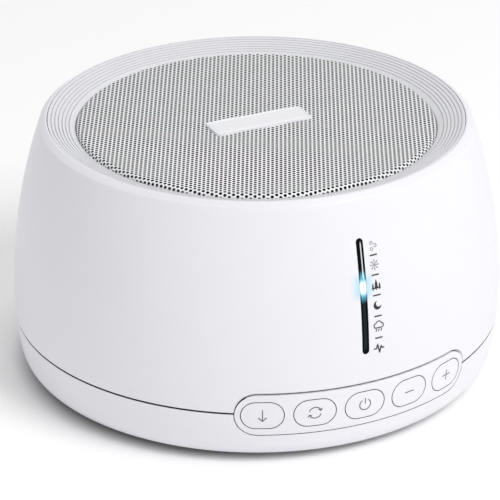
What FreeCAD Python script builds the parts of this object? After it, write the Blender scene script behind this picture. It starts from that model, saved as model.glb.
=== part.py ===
"""A table-top white noise sound machine: a drum-shaped housing with a round speaker grille on top,
a light bar and five keys on the front, and the driver, switches and circuit boards that it holds.

Millimetres. +Z is up, the front with the keys faces -Y, and the origin is on the table under the
middle of the housing. Every piece is one node, written to parts/NODE.step.
"""
import FreeCAD
import Part
import math
import os

Vec = FreeCAD.Vector
UP = Vec(0, 0, 1)
FRONT = Vec(0, -1, 0)

# Outer form of the drum
drum_radius = 57.0            # widest radius
widest_height = 18.0          # height of the widest place above the table
upper_curve = 128.0           # radius of the side's curve above the widest place
lower_curve = 65.0            # radius of the side's curve below it
top_height = 61.05            # highest edge
chamfer_height = 1.0          # fall of the chamfer round the top
chamfer_width = 1.3           # its radial width
land_width = 0.4              # narrow flat land between the chamfer and the trim ring
wall = 2.2                    # wall of both shells
seam_height = 13.4            # part line between the shells
seam_gap = 0.4                # shadow gap at the part line
edge_round = 0.5              # rounding of the top edges
base_round = 5.0              # rounding under the base
foot_height = 1.2             # how far the feet stand below the base

# Trim ring and grille
ring_clearance = 0.15         # all round the trim ring
ring_width = 6.33             # radial width of the trim ring
ring_thickness = 1.56         # from its seat to its lowest top edge
groove_count = 6
groove_pitch = 0.83
groove_width = 0.26
groove_depth = 0.35
ring_slope = math.radians(19.4)   # fall of the grooved band towards the middle
lip_slope = math.radians(29.0)    # fall of the smooth lip inside the grooves
grille_clearance = 0.12
grille_sheet = 0.6            # thickness of the perforated sheet
grille_bend = 1.2             # outer radius of its turned-down edge
grille_rise = 0.9             # how far its flat stands above the lip's inner edge
sheet_hole = 1.7              # hole diameter, drawn coarser than the real sheet's 0.66
sheet_pitch = 3.2             # hole pitch, drawn coarser than the real sheet's 1.06
cloth_thickness = 0.3
plate_length = 24.0
plate_width = 7.3
plate_thickness = 0.6
plate_forward = 1.2           # offset of the plate towards the front

# Deck that carries the driver
deck_thickness = 3.0
flange_seat = 5.5             # how far the deck reaches in over the driver's flange

# Loudspeaker driver
driver_inset = 18.5           # from the drum's widest radius in to the driver's flange
flange_thickness = 1.2
gasket_thickness = 0.8
cone_inset = 11.5             # from the flange's outer edge in to the cone's
cone_depth = 10.0
cone_thickness = 0.6
cone_neck = 0.8               # height of the cone's glued edge on the coil
surround_width = 4.2
surround_thickness = 0.5
coil_radius = 9.6
coil_wall = 0.6
coil_length = 10.0
magnet_radius = 22.5
magnet_height = 8.0
plate_iron = 3.0              # thickness of the magnet's iron plates
cone_travel = 1.5
basket_window_count = 6
basket_window_width = 10.0
spider_drop = 4.0             # from the cone's foot down to the basket's foot
driver_screw_inset = 2.9      # from the flange's outer edge
driver_screw_grip = 2.0       # how far the driver's screws reach into the deck
terminal_depth = 1.4
lug_length = 2.5
lug_drop = 2.2                # from the iron's top to the lugs
lug_spacing = 8.0
basket_wall = 1.2
moving_gap = 0.3              # free air beside what moves

# Keys
key_count = 5
key_spacing = 11.82           # between keys, along the drum's widest circle
key_width = 9.5
key_height = 6.6
key_gap = 0.2
key_drop = 0.35               # how far the keys' middle lies below the part line
key_travel = 0.6
key_flange = 0.35             # how far the retaining flange stands past the key
key_flange_thickness = 1.0
key_names = ["timer", "sound", "power", "volume_down", "volume_up"]
panel_end = 6.2               # panel past the outer keys' middles, along the same circle
panel_height = 10.2
panel_gap = 0.2
panel_bevel = 0.35            # bevel round the shells' opening
panel_thickness = 1.95
panel_rim = 0.8               # wall round the back of the panel
panel_flange = 1.4            # how far its back flange reaches behind the shells
panel_flange_thickness = 1.0
stem_radius = 1.6
switch_side = 6.0
switch_height = 3.4
plunger_radius = 1.75
plunger_height = 1.0
plunger_clearance = 0.1
flex_thickness = 0.3
carrier_wall = 2.4
carrier_end = 1.5             # how much shorter the carrier is than the panel at each end
carrier_reach = 5.95          # carrier above the keys' middle
carrier_hole_angle = math.radians(20.0)
flex_reach = 4.5              # flexible circuit above and below the keys' middle
carrier_foot = 7.0            # radial length of the carrier's foot
carrier_foot_thickness = 1.8
carrier_boss_height = 2.6

# Light bar
bar_width = 1.6
bar_top_margin = 7.9          # from the shoulder down to the bar
bar_bottom_margin = 7.4       # from the key panel up to the bar
bar_gap = 0.05
bar_flange_width = 4.0
bar_flange_extra = 2.4        # how much longer the lens flange is than the bar
bar_flange_thickness = 1.0
light_cells = 6
cell_end = 1.6                # from the bar's end to the last cell's middle
cell_wall = 1.28              # wall between cells
cell_width = 3.0
mask_width = 7.0
mask_depth = 4.0
mask_end = 3.2                # mask past the last cell's middle
mask_ear = 5.0                # how far each screwed ear stands out sideways
mask_ear_height = 6.0
mask_ear_thickness = 1.6
light_post_radius = 2.4
light_board_thickness = 1.0
led_width = 2.0
led_height = 1.4
led_depth = 1.1
light_screw_length = 4.2

# Base, boards and fasteners
boss_inset = 11.0             # from the drum's widest radius in to the case screws
boss_radius = 3.5
screw_clearance = 0.05
case_screw_radius = 1.4
case_head_radius = 2.6
case_head_height = 1.8
case_screw_length = 18.0
case_head_inset = 0.6         # how far the case screws' heads lie inside the base
slot_width = 0.5              # width of each slot of a screw's cross
foot_inset = 11.0             # from the case screws in to the feet
foot_radius = 6.0
foot_recess = 0.6
foot_round = 0.4
foot_clearance = 0.1
lip_height = 2.0
lip_thickness = 1.2
lip_clearance = 0.15
board_thickness = 1.6
board_side_inset = 31.0       # from the drum's widest radius in to the board's side
board_front = -20.0
board_shoulder_inset = 15.0   # and to the rear edge of its full width
tongue_half_width = 9.0       # narrow tongue that carries the power socket
board_standoff = 1.6
board_hole_inset = 4.0
board_boss_radius = 3.0
board_screw_radius = 1.1
board_head_radius = 2.1
board_head_height = 1.3
board_screw_length = 3.8
socket_width = 8.94
socket_height = 3.2
socket_length = 7.3
socket_wall = 0.3
socket_tongue = 0.7           # thickness of the contact tongue inside it
socket_recess = 0.5           # from the base's outside to the socket's mouth
socket_overhang = 1.9         # how far it stands past the board's rear edge
port_clearance = 0.25         # all round the socket in the base wall
port_wall = 1.2               # base wall where it is thinned for the board's tongue
can_radius = 4.0
can_height = 10.0
can_pitch = 10.0
can_row = 22.0
header_height = 4.5
header_depth = 5.0
lead_header_width = 7.0
header_ears = 1.0             # header past its ribbon at each side
lead_header_x = 16.0
lead_header_y = 20.0
key_ribbon_x = -14.0
light_ribbon_x = 0.0
ribbon_header_y = -12.0
lead_radius = 0.7
ribbon_thickness = 0.4
ribbon_width = 6.0
chip_height = 1.5
control_chip_side = 10.0
control_chip_y = 6.0
amplifier_width = 5.0
amplifier_length = 6.4
amplifier_x = 14.0
amplifier_y = 2.0


def side_radius(height, inset=0.0):
    """Radius of the drum's side at a height, moved in by inset along its own normal."""
    curve = upper_curve if height >= widest_height else lower_curve
    rise = height - widest_height
    return drum_radius - curve + math.sqrt((curve - inset) ** 2 - rise ** 2)


# Heights and radii that follow from the sizes above
base_bottom = foot_height
base_floor = base_bottom + wall
shoulder_height = top_height - chamfer_height
land_radius = side_radius(shoulder_height) - chamfer_width
seat_radius = land_radius - land_width
ring_outer = seat_radius - ring_clearance
ring_inner = ring_outer - ring_width
band_inner = ring_outer - (groove_count + 0.1) * groove_pitch
band_drop = (ring_outer - band_inner) * math.tan(ring_slope)
lip_drop = (band_inner - ring_inner) * math.tan(lip_slope)
lip_edge_height = top_height - band_drop - lip_drop
seat_height = lip_edge_height - ring_thickness
deck_under = seat_height - deck_thickness
grille_radius = ring_inner - grille_clearance
grille_top = lip_edge_height + grille_rise
key_height_middle = seam_height - key_drop
key_pitch = key_spacing / drum_radius
panel_half_angle = (key_count - 1) / 2 * key_pitch + panel_end / drum_radius
carrier_half_angle = panel_half_angle - carrier_end / drum_radius
carrier_top = key_height_middle + carrier_reach
bar_foot = key_height_middle + panel_height / 2 + bar_bottom_margin
bar_length = shoulder_height - bar_top_margin - bar_foot
bar_height = bar_foot + bar_length / 2
cell_pitch = (bar_length - 2 * cell_end) / (light_cells - 1)
cell_height = cell_pitch - cell_wall
boss_circle = drum_radius - boss_inset
foot_circle = boss_circle - foot_inset
board_half_width = drum_radius - board_side_inset
board_shoulder = drum_radius - board_shoulder_inset
board_bottom = base_floor + board_standoff
board_top = board_bottom + board_thickness
header_top = board_top + header_height
driver_radius = drum_radius - driver_inset
driver_opening = driver_radius - flange_seat
cone_radius = driver_radius - cone_inset
flange_top = deck_under - gasket_thickness
flange_under = flange_top - flange_thickness
cone_top = flange_top - cone_thickness
cone_bottom = cone_top - cone_depth
basket_base = cone_bottom - spider_drop
gap_top = basket_base - basket_wall
magnet_top = gap_top - plate_iron
magnet_bottom = magnet_top - magnet_height
lug_underside = gap_top - lug_drop


def arc_edge(low, high, inset=0.0):
    """The drum's side between two heights on one side of its widest place, in the XZ plane."""
    ends = [Vec(side_radius(z, inset), 0, z) for z in (low, (low + high) / 2, high)]
    return Part.Arc(*ends).toShape()


def side_edges(low, high, inset=0.0):
    """The drum's side between two heights, from the lower to the higher."""
    if low < widest_height < high:
        return [arc_edge(low, widest_height, inset), arc_edge(widest_height, high, inset)]
    return [arc_edge(low, high, inset)]


def line(a, b):
    return Part.LineSegment(Vec(a[0], 0, a[1]), Vec(b[0], 0, b[1])).toShape()


def chain(*points):
    """Straight edges through (radius, height) points."""
    return [line(a, b) for a, b in zip(points[:-1], points[1:])]


def turned(edges):
    """A solid of revolution about Z from closed edges in the XZ plane."""
    face = Part.Face(Part.Wire(Part.__sortEdges__(edges)))
    return clean(face.revolve(Vec(0, 0, 0), UP, 360))


def lathe(*points):
    """A solid of revolution about Z from the corners of its section."""
    return turned(chain(*points, points[0]))


def clean(shape):
    """The one solid in a shape, or a compound of them, facing outwards."""
    solids = [s if s.Volume > 0 else s.reversed() for s in shape.Solids]
    return solids[0] if len(solids) == 1 else Part.makeCompound(solids)


def ring(inner, outer, low, high):
    return lathe((inner, low), (outer, low), (outer, high), (inner, high))


def disc(radius, low, high, x=0.0, y=0.0):
    return Part.makeCylinder(radius, high - low, Vec(x, y, low))


def block(x, y, z):
    """A box from its (low, high) pairs."""
    return Part.makeBox(x[1] - x[0], y[1] - y[0], z[1] - z[0], Vec(x[0], y[0], z[0]))


def drum(inset, low, high):
    """The solid inside the drum's side between two heights."""
    edges = side_edges(low, high, inset)
    edges += chain((side_radius(high, inset), high), (0, high), (0, low), (side_radius(low, inset), low))
    return turned(edges)


def turn(shape, angle):
    """A copy turned about Z, in radians."""
    copy = shape.copy()
    copy.rotate(Vec(0, 0, 0), UP, math.degrees(angle))
    return copy


def polar(radius, angle):
    """X and Y of a place on a circle, with angle 0 at the front and growing towards +X."""
    return radius * math.sin(angle), -radius * math.cos(angle)


def stadium(half_width, half_height, near, far, height):
    """A stadium prism that runs towards the front from y = -near to y = -far."""
    h = half_height
    w = half_width - h
    a, b, c, d = Vec(-w, -near, -h), Vec(w, -near, -h), Vec(w, -near, h), Vec(-w, -near, h)
    edges = [
        Part.LineSegment(a, b).toShape(),
        Part.Arc(b, Vec(w + h, -near, 0), c).toShape(),
        Part.LineSegment(c, d).toShape(),
        Part.Arc(d, Vec(-w - h, -near, 0), a).toShape(),
    ]
    prism = Part.Face(Part.Wire(edges)).extrude(FRONT * (far - near))
    prism.translate(Vec(0, 0, height))
    return clean(prism)


def pill(grow, near, far):
    """The key panel's outline wrapped round the drum: a sector with a round end at each side."""
    half_height = panel_height / 2 + grow
    end_angle = panel_half_angle - (panel_height / 2) / drum_radius
    low, high = key_height_middle - half_height, key_height_middle + half_height
    section = chain((near, low), (far, low), (far, high), (near, high), (near, low))
    face = Part.Face(Part.Wire(section))
    middle = face.revolve(Vec(0, 0, 0), UP, math.degrees(2 * end_angle))
    body = turn(middle, -math.pi / 2 - end_angle)
    for side in (-1, 1):
        cap = Part.makeCylinder(half_height, far - near, Vec(0, -near, key_height_middle), FRONT)
        body = body.fuse(turn(cap, side * end_angle))
    return clean(body.removeSplitter())


def fillet_at(shape, radius, *places):
    """Rounds the circular edges that lie at the given (radius, height) places."""
    edges = []
    for edge in shape.Edges:
        curve = edge.Curve
        if not isinstance(curve, Part.Circle):
            continue
        for r, z in places:
            if abs(curve.Radius - r) < 0.01 and abs(curve.Center.z - z) < 0.01:
                edges.append(edge)
    return clean(shape.makeFillet(radius, edges))


def case_screw_angles():
    return [math.radians(45 + 90 * n) for n in range(4)]


def board_holes():
    """The four places where the main board is screwed down."""
    x = board_half_width - board_hole_inset
    ends = (board_front + board_hole_inset, board_shoulder - board_hole_inset)
    return [(side * x, y) for side in (-1, 1) for y in ends]


socket_middle = board_top + socket_height / 2
socket_mouth = side_radius(socket_middle) - socket_recess
board_rear = socket_mouth - socket_overhang


def top_housing():
    """Upper shell: the drum's side, the top chamfer, the ring's seat and the driver's deck."""
    low = seam_height + seam_gap / 2
    edges = side_edges(low, shoulder_height)
    edges += chain(
        (side_radius(shoulder_height), shoulder_height),
        (land_radius, top_height),
        (seat_radius, top_height),
        (seat_radius, seat_height),
        (driver_opening, seat_height),
        (driver_opening, deck_under),
        (side_radius(deck_under, wall), deck_under),
    )
    edges += side_edges(low, deck_under, wall)
    edges += chain((side_radius(low, wall), low), (side_radius(low), low))
    shell = turned(edges)
    shell = fillet_at(shell, edge_round, (side_radius(shoulder_height), shoulder_height))
    shell = fillet_at(shell, edge_round / 3, (land_radius, top_height), (side_radius(low), low))
    inside = drum(wall / 2, low, seat_height)
    boss = disc(boss_radius, low + lip_height, deck_under + 0.5, 0, -boss_circle)
    pilot = disc(case_screw_radius + screw_clearance, low, screw_tip + 2, 0, -boss_circle)
    for angle in case_screw_angles():
        shell = shell.fuse(turn(boss, angle).common(inside)).cut(turn(pilot, angle))
    for post in light_posts():
        shell = shell.fuse(post.common(inside))
    for pilot_hole in light_screw_holes():
        shell = shell.cut(pilot_hole)
    for x, y in driver_screw_places():
        shell = shell.cut(disc(board_screw_radius + screw_clearance, deck_under,
                               deck_under + driver_screw_grip + 0.4, x, y))
    shell = shell.cut(pill(panel_gap, side_radius(seam_height) - 8, drum_radius + 2))
    shell = shell.cut(panel_bevel_cut())
    shell = shell.cut(in_bar_frame(stadium_bar(bar_width / 2 + bar_gap, bar_length / 2 + bar_gap, -3, 6)))
    return clean(shell.removeSplitter())


def panel_bevel_cut():
    """A second, wider and shallow cut that bevels the edge of the shells' opening."""
    depth = side_radius(seam_height) - panel_bevel
    return pill(panel_gap + panel_bevel, depth, drum_radius + 2)


def base_shell():
    """Lower shell: floor, side, locating lip, bosses and the power socket's port."""
    high = seam_height - seam_gap / 2
    solid = drum(0, base_bottom, high)
    solid = fillet_at(solid, base_round, (side_radius(base_bottom), base_bottom))
    solid = fillet_at(solid, edge_round / 3, (side_radius(high), high))
    solid = solid.cut(fillet_at(drum(wall, base_floor, high), base_round - wall,
                                (side_radius(base_floor, wall), base_floor)))
    lip_outer = side_radius(high, wall) - lip_clearance
    lip = ring(lip_outer - lip_thickness, lip_outer, high - lip_height, high + seam_gap + lip_height - 0.3)
    lip_seat = lathe((lip_outer - lip_thickness, high - lip_height), (lip_outer + 1, high - lip_height),
                     (lip_outer + 1, high), (lip_outer - lip_thickness, high))
    solid = solid.fuse(lip).fuse(lip_seat.common(drum(0.5, base_floor, high)))
    post = disc(boss_radius, base_floor - 0.5, high + seam_gap, 0, -boss_circle)
    post = post.fuse(disc(boss_radius, high, high + seam_gap / 2 + lip_height, 0, -boss_circle))
    relief = disc(boss_radius + lip_clearance, high + seam_gap / 2 + lip_height, top_height, 0, -boss_circle)
    hole = disc(case_screw_radius + screw_clearance, 0, top_height, 0, -boss_circle)
    sink = disc(case_head_radius + screw_clearance, 0, case_head_top, 0, -boss_circle)
    for angle in case_screw_angles():
        for tool, add in ((post, True), (relief, False), (hole, False), (sink, False)):
            solid = solid.fuse(turn(tool, angle)) if add else solid.cut(turn(tool, angle))
    for x, y in board_holes():
        solid = solid.fuse(disc(board_boss_radius, base_floor - 0.5, board_bottom, x, y))
        solid = solid.cut(disc(board_screw_radius + screw_clearance, board_screw_tip - 0.3,
                               board_bottom, x, y))
    for x, y in carrier_holes():
        solid = solid.fuse(disc(board_boss_radius, base_floor - 0.5, base_floor + carrier_boss_height, x, y))
        solid = solid.cut(disc(board_screw_radius + screw_clearance, carrier_screw_tip - 0.3,
                               base_floor + carrier_boss_height, x, y))
    for angle in case_screw_angles():
        x, y = polar(foot_circle, angle)
        solid = solid.cut(disc(foot_radius + foot_clearance, base_bottom - 1,
                               base_bottom + foot_recess, x, y))
    clear = pill(panel_gap + panel_flange + lip_clearance, side_radius(seam_height) - 8,
                 side_radius(seam_height, wall))
    solid = solid.cut(clear)
    solid = solid.cut(pill(panel_gap, side_radius(seam_height) - 8, drum_radius + 2)).cut(panel_bevel_cut())
    port = stadium(socket_width / 2 + port_clearance, socket_height / 2 + port_clearance,
                   board_rear - 2, drum_radius + 2, socket_middle)
    solid = solid.cut(turn(port, math.pi))
    pocket = block((-tongue_half_width - port_clearance, tongue_half_width + port_clearance),
                   (board_shoulder, drum_radius),
                   (board_bottom - port_clearance, socket_middle + socket_height / 2 + port_clearance))
    solid = solid.cut(pocket.common(drum(port_wall, base_bottom, high)))
    return clean(solid.removeSplitter())


def trim_ring():
    """Ring with concentric grooves that falls towards the grille and covers its edge."""
    points = [(ring_outer, seat_height), (ring_outer, top_height)]
    for n in range(1, groove_count + 1):
        outer = ring_outer - n * groove_pitch + groove_width / 2
        inner = outer - groove_width
        for radius, drop in ((outer, 0), (outer, groove_depth), (inner, groove_depth), (inner, 0)):
            points.append((radius, top_height - (ring_outer - radius) * math.tan(ring_slope) - drop))
    points += [(band_inner, top_height - band_drop), (ring_inner, lip_edge_height),
               (ring_inner, seat_height)]
    body = lathe(*points)
    return fillet_at(body, edge_round / 3, (ring_outer, top_height))


def cup(radius, top, thickness, bend, bottom):
    """A flat disc with its edge turned down, in section."""
    inner_bend = bend - thickness
    edges = chain((0, top), (radius - bend, top))
    middle = (radius - bend, top - bend)
    half = math.sqrt(0.5)
    edges.append(Part.Arc(Vec(radius - bend, 0, top),
                          Vec(middle[0] + bend * half, 0, middle[1] + bend * half),
                          Vec(radius, 0, top - bend)).toShape())
    edges += chain((radius, top - bend), (radius, bottom), (radius - thickness, bottom),
                   (radius - thickness, top - bend))
    edges.append(Part.Arc(Vec(radius - thickness, 0, top - bend),
                          Vec(middle[0] + inner_bend * half, 0, middle[1] + inner_bend * half),
                          Vec(radius - bend, 0, top - thickness)).toShape())
    edges += chain((radius - bend, top - thickness), (0, top - thickness), (0, top))
    return turned(edges)


def speaker_grille():
    """Perforated sheet with a turned-down edge that stands on the deck inside the trim ring."""
    body = cup(grille_radius, grille_top, grille_sheet, grille_bend, seat_height)
    reach = grille_radius - grille_bend - sheet_pitch / 2
    rows = int(reach / (sheet_pitch * math.sqrt(3) / 2))
    holes = []
    for row in range(-rows, rows + 1):
        y = row * sheet_pitch * math.sqrt(3) / 2
        columns = int(reach / sheet_pitch) + 1
        for column in range(-columns, columns + 1):
            x = (column + (row % 2) / 2) * sheet_pitch
            under_plate = abs(x) < plate_length / 2 + 1 and abs(y + plate_forward) < plate_width / 2 + 1
            if math.hypot(x, y) <= reach and not under_plate:
                circle = Part.makeCircle(sheet_hole / 2, Vec(x, y, grille_top - grille_sheet))
                holes.append(Part.Wire(circle))
    punched = Part.makeCompound([Part.Face(h).extrude(UP * grille_sheet) for h in holes])
    return clean(body.cut(punched))


def grille_cloth():
    return disc(grille_radius - grille_bend - 0.2, grille_top - grille_sheet - cloth_thickness,
                grille_top - grille_sheet)


def badge_plate():
    """Plain plate on the grille, left bare."""
    plate = block((-plate_length / 2, plate_length / 2),
                  (-plate_width / 2 - plate_forward, plate_width / 2 - plate_forward),
                  (grille_top, grille_top + plate_thickness))
    upright = [e for e in plate.Edges if abs(e.tangentAt(e.FirstParameter).z) > 0.9]
    plate = plate.makeFillet(0.6, upright)
    top = [e for e in plate.Edges if all(abs(v.Z - grille_top - plate_thickness) < 1e-6 for v in e.Vertexes)]
    return clean(plate.makeFillet(plate_thickness / 4, top))


def driver_screw_places():
    radius = driver_radius - driver_screw_inset
    return [(radius * math.cos(a), radius * math.sin(a)) for a in (math.radians(90 * n) for n in range(4))]


def speaker_gasket():
    body = ring(driver_opening + 0.2, driver_radius, flange_top, deck_under)
    for x, y in driver_screw_places():
        body = body.cut(disc(board_screw_radius + 0.2, flange_top, deck_under, x, y))
    return clean(body)


def speaker_basket():
    """Pressed steel frame of the driver: flange, windowed cone wall and the seat for the magnet."""
    wall_top = cone_radius + surround_width + 0.3
    foot = magnet_radius - 1.0
    body = lathe(
        (wall_top, flange_top), (driver_radius, flange_top), (driver_radius, flange_under),
        (wall_top + basket_wall, flange_under), (foot + basket_wall, basket_base),
        (foot + basket_wall, gap_top), (coil_radius + 4, gap_top), (coil_radius + 4, basket_base),
        (foot, basket_base), (wall_top, flange_under))
    for x, y in driver_screw_places():
        body = body.cut(disc(board_screw_radius + 0.1, flange_under - 3, flange_top, x, y))
    high = flange_under - 2.0
    low = basket_base + 2.5
    half = basket_window_width / 2
    window = block((-half, half), (-driver_radius, -foot + 2), (low, high))
    for n in range(basket_window_count):
        body = body.cut(turn(window, (n + 0.5) * 2 * math.pi / basket_window_count))
    return clean(body)


def speaker_surround():
    """Half roll between the cone and the flange, with a flat edge at each side."""
    inner = cone_radius
    outer = cone_radius + surround_width
    t = surround_thickness
    middle = (inner + outer) / 2
    radius = (outer - inner) / 2 - 0.4
    z = flange_top
    edges = chain((middle + radius, z), (driver_opening - 0.6, z), (driver_opening - 0.6, z + t),
                  (middle + radius + t, z + t))
    edges.append(Part.Arc(Vec(middle + radius + t, 0, z + t), Vec(middle, 0, z + t + radius + t),
                          Vec(middle - radius - t, 0, z + t)).toShape())
    edges += chain((middle - radius - t, z + t), (inner - 1.2, z + t), (inner - 1.2, z),
                   (middle - radius, z))
    edges.append(Part.Arc(Vec(middle - radius, 0, z), Vec(middle, 0, z + radius),
                          Vec(middle + radius, 0, z)).toShape())
    return turned(edges)


def speaker_cone():
    t = cone_thickness
    inner = coil_radius
    return lathe((inner, cone_bottom), (cone_radius - 0.2, cone_top), (cone_radius - 0.2, flange_top),
                 (cone_radius - 1.2, flange_top), (cone_radius - 1.2, cone_top + t / 2),
                 (inner, cone_bottom + cone_neck))


def dust_cap():
    """Dome over the voice coil."""
    rim = coil_radius + 2.0
    run = (rim - coil_radius) / (cone_radius - 1.2 - coil_radius)
    base = cone_bottom + cone_neck + run * (cone_depth + cone_thickness / 2 - cone_neck) + 0.05
    rise = 3.4
    curve = (rim ** 2 + rise ** 2) / (2 * rise)
    centre = Vec(0, 0, base + rise - curve)
    outer = Part.makeSphere(curve, centre)
    inner = Part.makeSphere(curve - 0.4, centre)
    return clean(outer.cut(inner).common(disc(rim + 5, base, base + rise + 1)))


def voice_coil():
    return ring(coil_radius - coil_wall, coil_radius, cone_bottom - coil_length, cone_bottom + 1.0)


def spider():
    """Corrugated disc that centres the coil, as a flat ring with two steps."""
    z = basket_base
    inner, outer = coil_radius + moving_gap, magnet_radius - 1.2
    mid = (inner + outer) / 2
    return lathe((inner, z + 1.6), (mid, z + 1.6), (mid, z), (outer, z), (outer, z + 0.5),
                 (mid + 0.5, z + 0.5), (mid + 0.5, z + 2.1), (inner, z + 2.1))


def top_washer():
    return ring(coil_radius + 0.6, magnet_radius - 2.0, magnet_top, gap_top)


def speaker_magnet():
    return ring(coil_radius + 2.4, magnet_radius, magnet_bottom, magnet_top)


def magnet_yoke():
    """Back plate with the pole that stands inside the coil."""
    pole = coil_radius - coil_wall - 0.6
    low = magnet_bottom - plate_iron
    return lathe((0, low), (magnet_radius - 2.0, low), (magnet_radius - 2.0, magnet_bottom),
                 (pole, magnet_bottom), (pole, gap_top), (0, gap_top))


def speaker_terminals():
    """Strip with two solder lugs against the rim of the basket's foot."""
    rim = magnet_radius - 1.0 + basket_wall
    strip = block((-6, 6), (-rim - terminal_depth, 0), (lug_underside - 1, basket_base))
    strip = strip.cut(disc(rim, lug_underside - 2, basket_base + 1))
    for side in (-1, 1):
        x = side * lug_spacing / 2
        lug = block((x - 1, x + 1), (-rim - terminal_depth - lug_length, -rim - terminal_depth),
                    (lug_underside, lug_underside + 0.6))
        strip = strip.fuse(lug)
    return clean(strip.removeSplitter())


def screw(head_radius, head_height, shaft_radius, shaft_length):
    """Pan-head screw with its head's seat at the origin and its shaft along +Z."""
    body = disc(head_radius, -head_height, 0).fuse(disc(shaft_radius, 0, shaft_length))
    slot = block((-head_radius * 0.6, head_radius * 0.6), (-slot_width / 2, slot_width / 2),
                 (-head_height, -head_height * 0.45))
    body = body.cut(slot)
    slot.rotate(Vec(0, 0, 0), UP, 90)
    return clean(body.cut(slot).removeSplitter())


def placed(shape, x, y, z, flip=False):
    """A copy moved to a place, turned upside down where its shaft points down."""
    copy = shape.copy()
    if flip:
        copy.rotate(Vec(0, 0, 0), Vec(1, 0, 0), 180)
    copy.translate(Vec(x, y, z))
    return copy


case_head_top = base_bottom + case_head_height + case_head_inset
screw_tip = case_head_top + case_screw_length
board_screw_tip = board_top - board_screw_length
carrier_screw_tip = base_floor + carrier_boss_height + carrier_foot_thickness - board_screw_length


def case_screws():
    one = screw(case_head_radius, case_head_height, case_screw_radius, case_screw_length)
    places = [polar(boss_circle, angle) for angle in case_screw_angles()]
    return Part.makeCompound([placed(one, x, y, case_head_top) for x, y in places])


def board_screws():
    one = screw(board_head_radius, board_head_height, board_screw_radius, board_screw_length)
    return Part.makeCompound([placed(one, x, y, board_top, True) for x, y in board_holes()])


def carrier_screws():
    one = screw(board_head_radius, board_head_height, board_screw_radius, board_screw_length)
    top = base_floor + carrier_boss_height + carrier_foot_thickness
    return Part.makeCompound([placed(one, x, y, top, True) for x, y in carrier_holes()])


def speaker_screws():
    length = flange_thickness + gasket_thickness + driver_screw_grip
    one = screw(board_head_radius, board_head_height, board_screw_radius, length)
    return Part.makeCompound([placed(one, x, y, flange_under) for x, y in driver_screw_places()])


def rubber_feet():
    """Four round rubber feet, each seated in a shallow recess under the base."""
    feet = []
    for angle in case_screw_angles():
        x, y = polar(foot_circle, angle)
        foot = disc(foot_radius, 0, base_bottom + foot_recess, x, y)
        low = [e for e in foot.Edges if e.BoundBox.ZMax < 0.01]
        feet.append(clean(foot.makeFillet(foot_round, low)))
    return Part.makeCompound(feet)


# Keypad
panel_back = side_radius(seam_height) - panel_thickness
flange_front = panel_back - 0.1
flange_back = flange_front - key_flange_thickness
stem_end = flange_back - 2.6
plunger_tip = stem_end - 0.1
switch_front = plunger_tip - plunger_height
switch_back = switch_front - switch_height
carrier_face = switch_back - flex_thickness


def key_angle(index):
    return (index - (key_count - 1) / 2) * key_pitch


def keypad_panel():
    """Curved panel that fills the shells' opening and guides the keys."""
    rim_depth = panel_back - key_flange_thickness - key_travel - 0.3
    body = pill(0, rim_depth, drum_radius + 1).common(drum(0, 0, shoulder_height))
    behind = side_radius(seam_height, wall) - 0.15
    flange = pill(panel_flange, behind - panel_flange_thickness - 1, behind + 1)
    body = body.fuse(flange.common(ring(behind - panel_flange_thickness, behind, 0, shoulder_height)))
    body = body.cut(pill(-panel_rim, rim_depth - 2, panel_back))
    hole = stadium(key_width / 2 + key_gap, key_height / 2 + key_gap, rim_depth, drum_radius + 2,
                   key_height_middle)
    for n in range(key_count):
        body = body.cut(turn(hole, key_angle(n)))
    return clean(body.removeSplitter())


def key_cap(index):
    """Key with its retaining flange behind the panel and the stem that meets its switch."""
    cap = stadium(key_width / 2, key_height / 2, flange_back, drum_radius + 2, key_height_middle)
    cap = cap.common(drum(0, 0, shoulder_height))
    flange = stadium(key_width / 2 + key_flange, key_height / 2 + key_flange, flange_back - 1,
                     drum_radius, key_height_middle)
    flange = flange.common(ring(flange_back, flange_front, 0, shoulder_height))
    stem = Part.makeCylinder(stem_radius, flange_back + 0.5 - stem_end,
                             Vec(0, -stem_end, key_height_middle), FRONT)
    body = cap.cut(disc(flange_back, 0, shoulder_height)).fuse(flange).fuse(stem)
    return turn(clean(body.removeSplitter()), key_angle(index))


def switch_body():
    z = (key_height_middle - switch_side / 2, key_height_middle + switch_side / 2)
    body = block((-switch_side / 2, switch_side / 2), (-switch_front, -switch_back), z)
    bore_end = switch_front - key_travel - 1.6
    bore = Part.makeCylinder(plunger_radius + plunger_clearance, switch_front - bore_end,
                             Vec(0, -bore_end, key_height_middle), FRONT)
    return clean(body.cut(bore))


def tact_switches():
    return Part.makeCompound([turn(switch_body(), key_angle(n)) for n in range(key_count)])


def switch_plunger(index):
    body = Part.makeCylinder(plunger_radius, plunger_height + 1.2,
                             Vec(0, -(switch_front - 1.2), key_height_middle), FRONT)
    return turn(body, key_angle(index))


def sector(inner, outer, low, high, half_angle):
    """Part of a ring, spread to both sides of the front."""
    section = chain((inner, low), (outer, low), (outer, high), (inner, high), (inner, low))
    face = Part.Face(Part.Wire(section))
    body = face.revolve(Vec(0, 0, 0), UP, math.degrees(2 * half_angle))
    return clean(turn(body, -math.pi / 2 - half_angle))


def key_flex():
    """Flexible circuit under the switches."""
    return sector(carrier_face, switch_back, key_height_middle - flex_reach, key_height_middle + flex_reach,
                  carrier_half_angle - math.radians(0.5))


def carrier_holes():
    radius = carrier_face - carrier_wall - carrier_foot / 2
    return [polar(radius, side * carrier_hole_angle) for side in (-1, 1)]


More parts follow.
